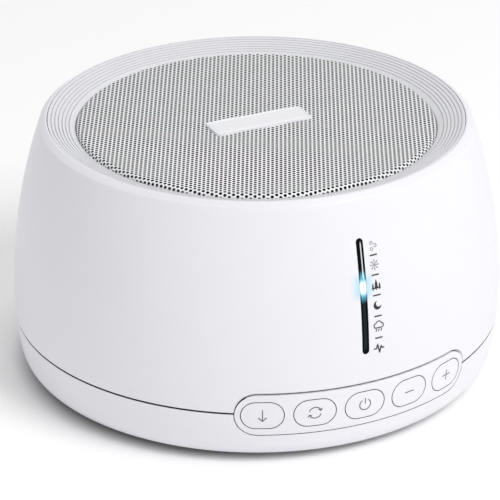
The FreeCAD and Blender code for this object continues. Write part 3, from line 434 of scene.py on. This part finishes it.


# Faces deep inside gaps and seams take painted shade
gap = {
    "low": 7.0 * mm,              # a wall counts as inside a gap between these heights
    "high": 55.0 * mm,
    "rim": 17.5 * mm,             # a ledge above this height catches the light
    "facing": 0.5,                # cosine from which a face looks outwards, or upwards
    "wall": 0.25 * mm,            # depth from which a wall gets painted shade, and from which a floor does
    "floor": 1.0 * mm,
    "seamWall": 0.1 * mm,         # the same for the base, whose seam is shallow
    "seamFloor": 0.3 * mm,
}


def shadeGaps(piece, wall, floor, keepUpward=False):
    # walls deeper than wall and floors deeper than floor take painted shade, a dark colour for the
    # shade in the gaps; lit ledges can stay
    mesh = piece.data
    mesh.materials.append(gapShadePaint)
    count = len(mesh.polygons)
    middles, normals = np.empty(count * 3), np.empty(count * 3)
    mesh.polygons.foreach_get("center", middles)
    mesh.polygons.foreach_get("normal", normals)
    middles, normals = middles.reshape(-1, 3), normals.reshape(-1, 3)
    depth = sideRadius(middles[:, 2]) - np.hypot(middles[:, 0], middles[:, 1])
    facing = (sideNormal(middles) * normals).sum(axis=1)
    deep = (depth > wall) & ((facing < gap["facing"]) | (depth > floor))
    if keepUpward:
        rim = (normals[:, 2] > gap["facing"]) & (middles[:, 2] > gap["rim"])
        deep &= ~rim
    deep &= (middles[:, 2] > gap["low"]) & (middles[:, 2] < gap["high"])
    slots = np.zeros(count, dtype=np.int32)
    slots[deep] = 1
    mesh.polygons.foreach_set("material_index", slots)


def stand(piece, body, slotName, *nodes):
    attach(piece, body)
    if nodes:
        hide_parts(*nodes)
    return piece


# Shells, ring, panel and lens: the solids' own shapes
housing = mergedCopy("topHousingShell", "top_housing", housingPlastic)
exactNormals(housing, True)
shadeGaps(housing, gap["wall"], gap["floor"])
stand(housing, "root", "housing_plastic", "top_housing")
base = mergedCopy("baseShell", "base_shell", housingPlastic)
exactNormals(base, True)
shadeGaps(base, gap["seamWall"], gap["seamFloor"])
stand(base, "root", "housing_plastic", "base_shell")
ringPiece = mergedCopy("groovedTrimRing", "trim_ring", ringPlastic)
exactNormals(ringPiece, False)
stand(ringPiece, "root", "housing_plastic", "trim_ring")
panel = mergedCopy("keypadPanel", "keypad_panel", housingPlastic)
exactNormals(panel, True)
shadeGaps(panel, gap["wall"], gap["floor"], True)
stand(panel, "root", "housing_plastic", "keypad_panel")
lens = mergedCopy("lightBarLens", "light_lens", smokedLens)
stand(lens, "root", "smoked_lens", "light_lens")
print("shells ready")


# Perforated grille sheet
sheet = {
    "pitch": 1.09 * mm,
    "holeRadius": 0.38 * mm,
    "corners": 8,                 # of each hole; the faces below count on it
    "thickness": 0.3 * mm,
    "bend": 1.2 * mm,
    "patternTurn": math.radians(4.5),
    "reach": 43.0 * mm,           # flat radius of the last hole's middle
    "spare": 1.2,                 # the lattice starts larger by this, since its rows lean
}


def overEdge(flat, lower):
    # flat up to the bend, then a quarter turn, then straight down: r and z from the flat radius
    low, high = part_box("speaker_grille")
    top = high.z
    bend = sheet["bend"]
    start = high.x - bend
    flatRadius = np.hypot(flat[:, 0], flat[:, 1])
    turn = np.clip((flatRadius - start) / bend, 0.0, math.pi / 2)
    drop = np.maximum(flatRadius - start - bend * math.pi / 2, 0.0)
    inner = bend - lower * sheet["thickness"]
    radius = np.where(flatRadius < start, flatRadius, start + inner * np.sin(turn))
    height = top - bend + inner * np.cos(turn) - drop
    scale = radius / np.maximum(flatRadius, tiny)
    return np.column_stack([flat * scale[:, None], height])


def perforatedSheet(name, material, shade):
    # holes on a close-packed lattice; quads join two neighbours each and fill between three
    pitch = sheet["pitch"]
    sides = sheet["corners"]
    reach = int(sheet["reach"] / pitch * sheet["spare"]) + 2
    i, j = np.meshgrid(np.arange(-reach, reach + 1), np.arange(-reach, reach + 1), indexing="ij")
    x = (i + j / 2) * pitch
    y = j * pitch * math.sqrt(3) / 2
    cos, sin = math.cos(sheet["patternTurn"]), math.sin(sheet["patternTurn"])
    plateLow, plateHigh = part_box("badge_plate")
    turnedX, turnedY = x * cos - y * sin, x * sin + y * cos
    hidden = (turnedX > plateLow.x + pitch) & (turnedX < plateHigh.x - pitch)
    hidden &= (turnedY > plateLow.y + pitch) & (turnedY < plateHigh.y - pitch)
    kept = (np.hypot(x, y) < sheet["reach"]) & ~hidden
    cell = np.full(i.shape, -1)
    cell[kept] = np.arange(kept.sum())
    around = np.radians(360 / sides * (np.arange(sides) + 0.5))
    flatX = (x[kept][:, None] + sheet["holeRadius"] * np.cos(around)).ravel()
    flatY = (y[kept][:, None] + sheet["holeRadius"] * np.sin(around)).ravel()
    flat = np.column_stack([flatX * cos - flatY * sin, flatX * sin + flatY * cos])
    a = cell[1:-1, 1:-1]
    right = cell[2:, 1:-1]
    upRight = cell[1:-1, 2:]
    upLeft = cell[:-2, 2:]
    downRight = cell[2:, :-2]
    patterns = [
        ((a, 7), (right, 4), (right, 3), (a, 0)),
        ((a, 0), (upRight, 5), (upRight, 4), (a, 1)),
        ((a, 2), (upLeft, 7), (upLeft, 6), (a, 3)),
        ((a, 0), (right, 3), (upRight, 6), (upRight, 5)),
        ((a, 7), (downRight, 2), (downRight, 1), (right, 4)),
    ]
    tops = []
    for corners in patterns:
        there = np.all([grid >= 0 for grid, _ in corners], axis=0)
        tops.append(np.column_stack([grid[there] * sides + corner for grid, corner in corners]))
    tops = np.vstack(tops)
    count = len(flat)
    starts, ends = tops.ravel(), np.roll(tops, -1, axis=1).ravel()
    single = ~np.isin(starts * count + ends, ends * count + starts)
    starts, ends = starts[single], ends[single]
    walls = np.column_stack([ends, starts, starts + count, ends + count])
    faces = np.vstack([tops, tops[:, ::-1] + count, walls])
    vertices = np.vstack([overEdge(flat, 0.0), overEdge(flat, 1.0)])
    used = np.unique(faces)
    renumber = np.zeros(len(vertices), dtype=int)
    renumber[used] = np.arange(len(used))
    piece = meshObject(name, vertices[used], renumber[faces], material)
    # the walls and the underside take painted shade, dark for the shade inside the holes
    piece.data.materials.append(shade)
    slots = np.ones(len(faces), dtype=np.int32)
    slots[:len(tops)] = 0
    piece.data.polygons.foreach_set("material_index", slots)
    return piece


grille = perforatedSheet("perforatedGrille", grilleSteel, paintedHoleShade)
stand(grille, "root", "grille_metal", "speaker_grille")
print("grille ready", len(grille.data.polygons) * 2, "triangles")


# Badge plate, left bare, with a groove inside its rim
badge = {
    "edge": 0.14 * mm,            # rounding between the side and the top
    "rounding": 0.3,              # share of the edge, across and down, at which the rounding is halfway
    "rim": 0.45 * mm,
    "groove": 0.12 * mm,          # depth
    "grooveStart": 0.1 * mm,      # the groove's floor and the field's edge, measured in from the rim
    "grooveEnd": 0.25 * mm,
    "field": 0.35 * mm,
    "fieldDrop": 0.02 * mm,
    "crown": 1.2 * mm,            # the field rises a little from its edge to here
    "crownDrop": 0.005 * mm,
    "corner": 0.6 * mm,
    "leastCorner": 0.12 * mm,
    "steps": 160,                 # points round the outline
    "crease": math.radians(30),
}


def badgePlate(name, material):
    # a rectangle with round corners: its outline shrinks ring by ring while the height follows the rim
    low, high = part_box("badge_plate")
    half = np.array([(high.x - low.x) / 2, (high.y - low.y) / 2])
    middle = np.array([(high.x + low.x) / 2, (high.y + low.y) / 2])
    steps = badge["steps"]
    turn = np.arange(steps) * 2 * math.pi / steps
    direction = np.column_stack([np.cos(turn), np.sin(turn)])
    top, edge, rim, groove = high.z, badge["edge"], badge["rim"], badge["groove"]
    rings = [
        (0.0, low.z),
        (0.0, top - edge),
        (edge * badge["rounding"], top - edge * badge["rounding"]),
        (edge, top),
        (rim, top),
        (rim + badge["grooveStart"], top - groove),
        (rim + badge["grooveEnd"], top - groove),
        (rim + badge["field"], top - badge["fieldDrop"]),
        (rim + badge["crown"], top - badge["crownDrop"]),
    ]
    layers = []
    for inset, height in rings:
        size = half - inset
        radius = max(badge["corner"] - inset, badge["leastCorner"])
        core = size - radius
        # a ray from the middle meets the rectangle; past the core it is drawn in to the corner's circle
        reach = np.min(size / np.maximum(np.abs(direction), tiny), axis=1)
        flat = direction * reach[:, None]
        past = np.maximum(np.abs(flat) - core, 0.0)
        length = np.maximum(np.hypot(past[:, 0], past[:, 1]), tiny)
        inCorner = (past[:, 0] > 0) & (past[:, 1] > 0)
        pull = np.where(inCorner, radius / length, 1.0)[:, None]
        flat = np.sign(flat) * (np.minimum(np.abs(flat), core) + past * pull)
        layers.append(np.column_stack([flat + middle, np.full(steps, height)]))
    vertices = np.vstack(layers)
    count = len(rings)
    ring, step = np.meshgrid(np.arange(count - 1), np.arange(steps), indexing="ij")
    ahead = (step + 1) % steps
    faces = np.stack([ring * steps + step, ring * steps + ahead, (ring + 1) * steps + ahead,
                      (ring + 1) * steps + step], axis=-1).reshape(-1, 4).tolist()
    faces.append(list(range((count - 1) * steps, count * steps)))
    faces.append(list(range(steps - 1, -1, -1)))
    piece = meshObject(name, vertices, faces, material)
    piece.data.shade_smooth()
    piece.data.set_sharp_from_angle(angle=badge["crease"])
    return piece


plate = badgePlate("badgePlate", badgeEnamel)
stand(plate, "root", "plate_metal", "badge_plate")
print("badge plate ready")


# Keys: the solids' own shape, each on its own body. The number counts places from the middle
keyPlaces = {"timer": -2, "sound": -1, "power": 0, "volume_down": 1, "volume_up": 2}
keySpacing = 11.82 * mm           # along the drum's widest circle


def pieceTitle(keyName):
    # volume_up gives volumeUp
    first, *others = keyName.split("_")
    return first + "".join(word.title() for word in others)


for keyName in keyPlaces:
    cap = mergedCopy(pieceTitle(keyName) + "Key", keyName + "_key", keyPlastic)
    exactNormals(cap, True)
    shadeGaps(cap, gap["wall"], gap["floor"])
    stand(cap, keyName + "_button", "key_plastic", keyName + "_key")
print("keys ready")


# Printed symbols and legend: flat strokes and filled shapes wrapped on the side
ink = {
    "lift": 0.03 * mm,            # how far the print stands proud
    "depth": 0.9,                 # share of the lift that it fills
    "step": 0.25 * mm,            # longest straight run of a stroke
    "mitre": 0.5,                 # a corner's mitre grows no longer than the width over this
    "keyLine": 0.22 * mm,         # widths of strokes
    "legendLine": 0.22 * mm,
    "dashLine": 0.3 * mm,
}


def resampled(path, closed):
    # points at most ink["step"] apart, so that a stroke follows the drum's curve
    ends = path if closed else path[:-1]
    points = []
    for start, end in zip(ends, np.roll(path, -1, axis=0)):
        count = max(1, math.ceil(np.hypot(*(end - start)) / ink["step"]))
        points += [start + (end - start) * n / count for n in range(count)]
    return np.array(points if closed else points + [path[-1]])


def strokeMesh(path, width, closed=False):
    # each point is pushed to both sides along the mitred normal of the two runs that meet there
    path = resampled(np.array(path, dtype=float), closed)
    after = np.roll(path, -1, axis=0) - path
    before = path - np.roll(path, 1, axis=0)
    if not closed:
        after[-1] = before[-1]
        before[0] = after[0]
    after /= np.linalg.norm(after, axis=1)[:, None]
    before /= np.linalg.norm(before, axis=1)[:, None]
    normal = np.column_stack([-(after + before)[:, 1], (after + before)[:, 0]])
    normal /= np.linalg.norm(normal, axis=1)[:, None]
    side = np.column_stack([-after[:, 1], after[:, 0]])
    reach = width / 2 / np.maximum((normal * side).sum(axis=1), ink["mitre"])
    left, right = path + normal * reach[:, None], path - normal * reach[:, None]
    count = len(path)
    runs = count if closed else count - 1
    index = np.arange(runs)
    ahead = (index + 1) % count
    faces = np.column_stack([index + count, ahead + count, ahead, index])
    return np.vstack([left, right]), faces.tolist()


def circlePath(radius, start, end, steps, centre=(0.0, 0.0)):
    angle = np.radians(np.linspace(start, end, steps))
    return np.column_stack([centre[0] + radius * np.cos(angle), centre[1] + radius * np.sin(angle)])


def printed(name, shapes, across, height, material, body, slotName):
    # shapes are (points, faces) in metres about their own middle, laid on the side at one place
    points, faces, offset = [], [], 0
    for shapePoints, shapeFaces in shapes:
        points.append(np.array(shapePoints))
        faces += [[corner + offset for corner in face] for face in shapeFaces]
        offset += len(shapePoints)
    points = np.vstack(points)
    face = onDrum(points[:, 0] + across, points[:, 1] + height, ink["lift"])
    piece = meshObject(name, face, faces, material)
    solid = piece.modifiers.new("inkThickness", "SOLIDIFY")
    solid.thickness = ink["lift"] * ink["depth"]
    solid.offset = -1.0
    return stand(piece, body, slotName)


def filled(points):
    # turned so that it runs anticlockwise and so faces outwards
    points = np.array(points, dtype=float)
    ahead = np.roll(points, -1, axis=0)
    if (points[:, 0] * ahead[:, 1] - points[:, 1] * ahead[:, 0]).sum() < 0:
        points = points[::-1]
    return points, [list(range(len(points)))]


def line(*points, closed=False, width=None):
    return strokeMesh(np.array(points) * mm, width or ink["keyLine"], closed)


def arrowHead(tip, direction, size):
    # two strokes that meet at the tip, each 45 degrees off the line's direction
    direction = np.array(direction, dtype=float) / np.hypot(*direction)
    side = np.array([-direction[1], direction[0]])
    tip = np.array(tip)
    return line(tip - size * (direction + side), tip, tip - size * (direction - side))


# The key symbols, in mm about the key's middle, with angles in degrees
symbol = {
    "arrow": {"top": 1.45, "foot": -1.3, "tip": -1.45, "head": 0.95},
    "loop": {"radius": 1.4, "starts": (20, 200), "sweep": 145, "points": 14, "head": 0.45},
    "power": {"radius": 1.35, "from": 122, "to": 418, "points": 28, "top": 1.65, "foot": 0.25},
    "minus": 1.25,
    "plus": 1.3,
    "plusGap": 0.11,              # the upright of the plus stops this far from its bar's middle line
}


def keySymbols():
    shaft, turns, ring = symbol["arrow"], symbol["loop"], symbol["power"]
    arrow = [line((0, shaft["top"]), (0, shaft["foot"]))]
    arrow.append(arrowHead((0, shaft["tip"]), (0, -1), shaft["head"]))
    loop = []
    for start in turns["starts"]:
        arc = circlePath(turns["radius"], start, start + turns["sweep"], turns["points"])
        loop.append(strokeMesh(arc * mm, ink["keyLine"]))
        along = (math.sin(math.radians(start)), -math.cos(math.radians(start)))
        loop.append(arrowHead(arc[0], along, turns["head"]))
    broken = circlePath(ring["radius"], ring["from"], ring["to"], ring["points"])
    power = [strokeMesh(broken * mm, ink["keyLine"]), line((0, ring["top"]), (0, ring["foot"]))]
    minus = [line((-symbol["minus"], 0), (symbol["minus"], 0))]
    arm, clear = symbol["plus"], symbol["plusGap"]
    plus = [line((-arm, 0), (arm, 0)), line((0, -arm), (0, -clear)), line((0, clear), (0, arm))]
    return {"timer": arrow, "sound": loop, "power": power, "volume_down": minus, "volume_up": plus}


keyLow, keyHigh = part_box("power_key")
keyHeight = (keyLow.z + keyHigh.z) / 2
for keyName, shapes in keySymbols().items():
    printed(pieceTitle(keyName) + "Symbol", shapes, keyPlaces[keyName] * keySpacing, keyHeight,
            symbolInk, keyName + "_button", "key_plastic")


# The legend beside the light bar: heights above the table and widths in mm
legend = {
    "across": math.radians(3.35) * drum["radius"],
    "dashWidth": 1.9,
    "heights": {
        "fan": 49.7, "burst": 45.5, "trees": 41.0, "moon": 36.4, "rain": 31.5, "pulse": 26.3,
    },
    "dashes": [47.7, 43.3, 38.7, 33.9, 28.8],
    "faded": ("fan", "burst"),    # these two are printed paler
}

# Its signs, in mm about their own middle, with angles in degrees
drawing = {
    "fan": {
        "turns": (0, 115, 245), "reach": 0.7, "blade": 0.33, "sweep": 160, "points": 14,
        "thinner": 0.8,           # its line, as a share of the legend's
    },
    "burst": {"between": 45, "from": 0.5, "to": 1.2, "core": 0.34, "coreEnd": 330, "points": 12},
    "trees": {
        "foot": -0.85,
        "sizes": [(0, 1.15, 2.2), (-0.86, 0.7, 1.4), (0.86, 0.7, 1.4)],       # place, width, height
        "lowerTier": 0.42,        # share of the height
        "waist": 0.2,             # shares of the width
        "shoulder": 0.34,
        "trunk": 0.3,
        "trunkLine": 0.18 * mm,
    },
    "moon": {"radius": 1.0, "bite": 0.74, "shift": 0.5, "axis": 45, "points": 24},
    "cloud": [                    # arcs: radius, start, end and middle
        (0.55, 250, 95, (-0.6, 0.2)),
        (0.75, 130, 30, (0.05, 0.45)),
        (0.5, 80, -90, (0.75, 0.15)),
    ],
    "cloudPoints": 10,
    "rain": {"places": (-0.6, 0.05, 0.7), "slant": 0.12, "top": -0.6, "foot": -1.15},
    "pulse": [(-1.3, 0), (-0.7, 0), (-0.35, 0.95), (0.1, -1.0), (0.5, 0.45), (0.75, 0), (1.3, 0)],
}


def crescent(radius, biteRadius, shift, axis, count):
    # a disc less a smaller one whose middle lies shift away along the axis: a strip between two arcs
    along = (shift ** 2 + radius ** 2 - biteRadius ** 2) / (2 * shift)
    across = math.sqrt(radius ** 2 - along ** 2)
    outer = math.degrees(math.atan2(across, along))
    inner = math.degrees(math.atan2(across, along - shift))
    middle = (shift * math.cos(math.radians(axis)), shift * math.sin(math.radians(axis)))
    rim = circlePath(radius, axis + outer, axis + 360 - outer, count)
    bite = circlePath(biteRadius, axis + inner, axis + 360 - inner, count, middle)
    faces = [[n, n + 1, n + count + 1, n + count] for n in range(count - 1)]
    return np.vstack([rim, bite]) * mm, faces


def tree(x, width, height):
    # two tiers and a short trunk
    pine = drawing["trees"]
    foot, waist, shoulder = pine["foot"], width * pine["waist"], width * pine["shoulder"]
    tier = foot + height * pine["lowerTier"]
    right = [(x + width / 2, foot), (x + waist, tier), (x + shoulder, tier)]
    left = [(x - shoulder, tier), (x - waist, tier)]
    outline = [(x - width / 2, foot), *right, (x, foot + height), *left]
    trunk = line((x, foot), (x, foot - pine["trunk"]), width=pine["trunkLine"])
    return [filled(np.array(outline) * mm), trunk]


def legendShapes():
    thin = ink["legendLine"]
    fan, blades = [], drawing["fan"]
    for turn in blades["turns"]:
        reach = blades["reach"]
        middle = (reach * math.cos(math.radians(turn)), reach * math.sin(math.radians(turn)))
        blade = circlePath(blades["blade"], turn - blades["sweep"], turn + blades["sweep"],
                           blades["points"], middle)
        fan.append(strokeMesh(blade * mm, blades["thinner"] * thin))
    burst, rays = [], drawing["burst"]
    for turn in range(0, 360, rays["between"]):
        c, s = math.cos(math.radians(turn)), math.sin(math.radians(turn))
        start, end = rays["from"], rays["to"]
        burst.append(line((start * c, start * s), (end * c, end * s), width=thin))
    burst.append(filled(circlePath(rays["core"], 0, rays["coreEnd"], rays["points"]) * mm))
    trees = [shape for size in drawing["trees"]["sizes"] for shape in tree(*size)]
    disc = drawing["moon"]
    moon = [crescent(disc["radius"], disc["bite"], disc["shift"], disc["axis"], disc["points"])]
    cloud = np.vstack([circlePath(radius, start, end, drawing["cloudPoints"], middle)
                       for radius, start, end, middle in drawing["cloud"]])
    rain, drops = [strokeMesh(cloud * mm, thin, closed=True)], drawing["rain"]
    for x in drops["places"]:
        slant = drops["slant"]
        rain.append(line((x + slant, drops["top"]), (x - slant, drops["foot"]), width=thin))
    pulse = [line(*drawing["pulse"], width=ink["dashLine"])]
    return {"fan": fan, "burst": burst, "trees": trees, "moon": moon, "rain": rain, "pulse": pulse}


for sign, shapes in legendShapes().items():
    printed("legend" + sign.title(), shapes, legend["across"], legend["heights"][sign] * mm,
            fadedInk if sign in legend["faded"] else legendInk, "root", "housing_plastic")
halfDash = legend["dashWidth"] / 2
for number, height in enumerate(legend["dashes"]):
    dash = line((-halfDash, 0), (halfDash, 0), width=ink["dashLine"])
    printed("legendDash" + str(number + 1), [dash], legend["across"], height * mm,
            legendInk, "root", "housing_plastic")
print("symbols and legend ready")


# Pieces whose solids are right as they are: they get their material and soft shading
finishes = {
    "grille_cloth": blackCloth, "speaker_gasket": foam, "speaker_basket": steel,
    "speaker_surround": blackRubber, "speaker_cone": conePaper, "dust_cap": conePaper,
    "voice_coil": copper, "spider": spiderCloth, "top_washer": steel, "speaker_magnet": ferrite,
    "magnet_yoke": steel, "speaker_terminals": phenolic, "speaker_screws": screwSteel,
    "case_screws": screwSteel, "carrier_screws": screwSteel, "light_screws": screwSteel,
    "board_screws": screwSteel, "rubber_feet": footRubber, "tact_switches": switchPlastic,
    "key_flex": amberFilm, "switch_carrier": blackPlastic, "light_mask": blackPlastic,
    "light_board": boardGreen, "light_lamps": lampResin, "main_board": boardGreen,
    "power_socket": nickel, "control_chip": chipEpoxy, "amplifier_chip": chipEpoxy,
    "capacitors": canSleeve, "wire_headers": nylon, "speaker_lead_red": redLead,
    "speaker_lead_black": blackLead, "key_ribbon": paleFilm, "light_ribbon": paleFilm,
}
for keyName in keyPlaces:
    finishes[keyName + "_plunger"] = plungerPlastic
for node, material in finishes.items():
    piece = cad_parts[node]
    piece.data.materials.clear()
    piece.data.materials.append(material)
    piece.data.shade_smooth()
    weld = piece.modifiers.new("joinCorners", "WELD")
    weld.merge_threshold = surface["weld"]
    split = piece.modifiers.new("crispEdges", "EDGE_SPLIT")
    split.split_angle = surface["crease"]
print("inner pieces ready")


# Floor, lights and camera
studio = {
    "floorSize": 3.0,
    "floorRoughness": 0.9,
    "floorGlow": 0.12,                    # the floor's own light, for the camera only
    "shadedOut": (50 * mm, 66 * mm),      # it fades in between these distances from shadeMiddle, a painted shadow round the drum
    "paintedShadowRange": (46 * mm, 56 * mm),      # and the floor's colour, a painted contact shadow, rises to white between these, from this share of white
    "paintedShadowShare": 0.22,                   # from this share of white
    # the middle of the painted shadow, moved towards the shaded side
    "shadeMiddle": (-3 * mm, 2 * mm, 0.0),
    "ambient": 0.6,                       # the world's strength on the object
    "lampPlace": (0.36, -0.735, 0.91),
    "lampTarget": (0.0, 0.0, 0.03),
    "lampSize": 0.6,
    "lampPower": 6.3,
}


def pointAt(thing, target):
    thing.rotation_euler = (Vector(target) - thing.location).to_track_quat("-Z", "Y").to_euler()


def softLamp(name):
    data = bpy.data.lights.new(name, "AREA")
    data.shape = "DISK"
    data.size = studio["lampSize"]
    data.energy = studio["lampPower"]
    thing = bpy.data.objects.new(name, data)
    thing.location = studio["lampPlace"]
    pointAt(thing, studio["lampTarget"])
    bpy.context.scene.collection.objects.link(thing)


def seenDirectly(material):
    # 1 for what the camera sees itself, in a mirror or through glass
    paths = addNode(material, "ShaderNodeLightPath")
    both = addNode(material, "ShaderNodeMath", {"operation": "MAXIMUM"}, {
        0: paths.outputs["Is Camera Ray"], 1: paths.outputs["Is Glossy Ray"]})
    return addNode(material, "ShaderNodeMath", {"operation": "MAXIMUM"}, {
        0: both.outputs["Value"], 1: paths.outputs["Is Transmission Ray"]}).outputs["Value"]


def paleFloor():
    size = studio["floorSize"]
    corners = np.array([[-size, -size, 0], [size, -size, 0], [size, size, 0], [-size, size, 0]])
    material, shader = newMaterial("paleFloor", "FFFFFF", studio["floorRoughness"],
                                   Specular_IOR_Level=0.0)
    place = addNode(material, "ShaderNodeTexCoord")
    moved = addNode(material, "ShaderNodeVectorMath", {"operation": "SUBTRACT"}, {
        0: place.outputs["Object"], 1: studio["shadeMiddle"]})
    length = addNode(material, "ShaderNodeVectorMath", {"operation": "LENGTH"}, {
        0: moved.outputs["Vector"]})
    away = length.outputs["Value"]
    # painted shadow: the floor's glow is held back near the drum
    near, far = studio["shadedOut"]
    fade = addNode(material, "ShaderNodeMapRange", {"interpolation_type": "SMOOTHSTEP"}, {
        "Value": away, "From Min": near, "From Max": far, "To Max": studio["floorGlow"]})
    # painted contact shadow: the floor's colour darkens under and around the drum
    near, far = studio["paintedShadowRange"]
    under = addNode(material, "ShaderNodeMapRange", {"interpolation_type": "SMOOTHSTEP"}, {
        "Value": away, "From Min": near, "From Max": far, "To Min": studio["paintedShadowShare"]})
    material.node_tree.links.new(under.outputs["Result"], shader.inputs["Base Color"])
    glow = addNode(material, "ShaderNodeMath", {"operation": "MULTIPLY"}, {
        0: seenDirectly(material), 1: fade.outputs["Result"]})
    shader.inputs["Emission Color"].default_value = (1.0, 1.0, 1.0, 1.0)
    material.node_tree.links.new(glow.outputs["Value"], shader.inputs["Emission Strength"])
    floor = meshObject("floor", corners, [[0, 1, 2, 3]], material)


def paleWorld():
    world = bpy.data.worlds.new("studioWorld")
    world.use_nodes = True
    bpy.context.scene.world = world
    background = world.node_tree.nodes["Background"]
    background.inputs["Color"].default_value = (1.0, 1.0, 1.0, 1.0)
    seen = addNode(world, "ShaderNodeMapRange", {}, {
        "Value": seenDirectly(world), "To Min": studio["ambient"], "To Max": 1.0})
    world.node_tree.links.new(seen.outputs["Result"], background.inputs["Strength"])


view = {
    "frontTurn": math.radians(25.1),      # how far the camera stands to the left of the front
    "distance": 640.7 * mm,
    "height": 333.5 * mm,
    "pitch": math.radians(25.616),
    "lens": 217.7,
    "sensor": 36.0,
    "shiftX": -0.0128,
    "clip": (0.01, 20.0),
}


def photoCamera():
    data = bpy.data.cameras.new("photoCamera")
    data.lens = view["lens"]
    data.sensor_width = view["sensor"]
    data.sensor_fit = "HORIZONTAL"
    data.shift_x = view["shiftX"]
    data.clip_start, data.clip_end = view["clip"]
    camera = bpy.data.objects.new("photoCamera", data)
    turn, away = view["frontTurn"], view["distance"]
    camera.location = (-math.sin(turn) * away, -math.cos(turn) * away, view["height"])
    camera.rotation_euler = (math.pi / 2 - view["pitch"], 0.0, -turn)
    bpy.context.scene.collection.objects.link(camera)
    bpy.context.scene.camera = camera


paleFloor()
paleWorld()
photoCamera()
softLamp("keyLamp")
bpy.context.scene.view_settings.view_transform = "Standard"
print("stage ready")
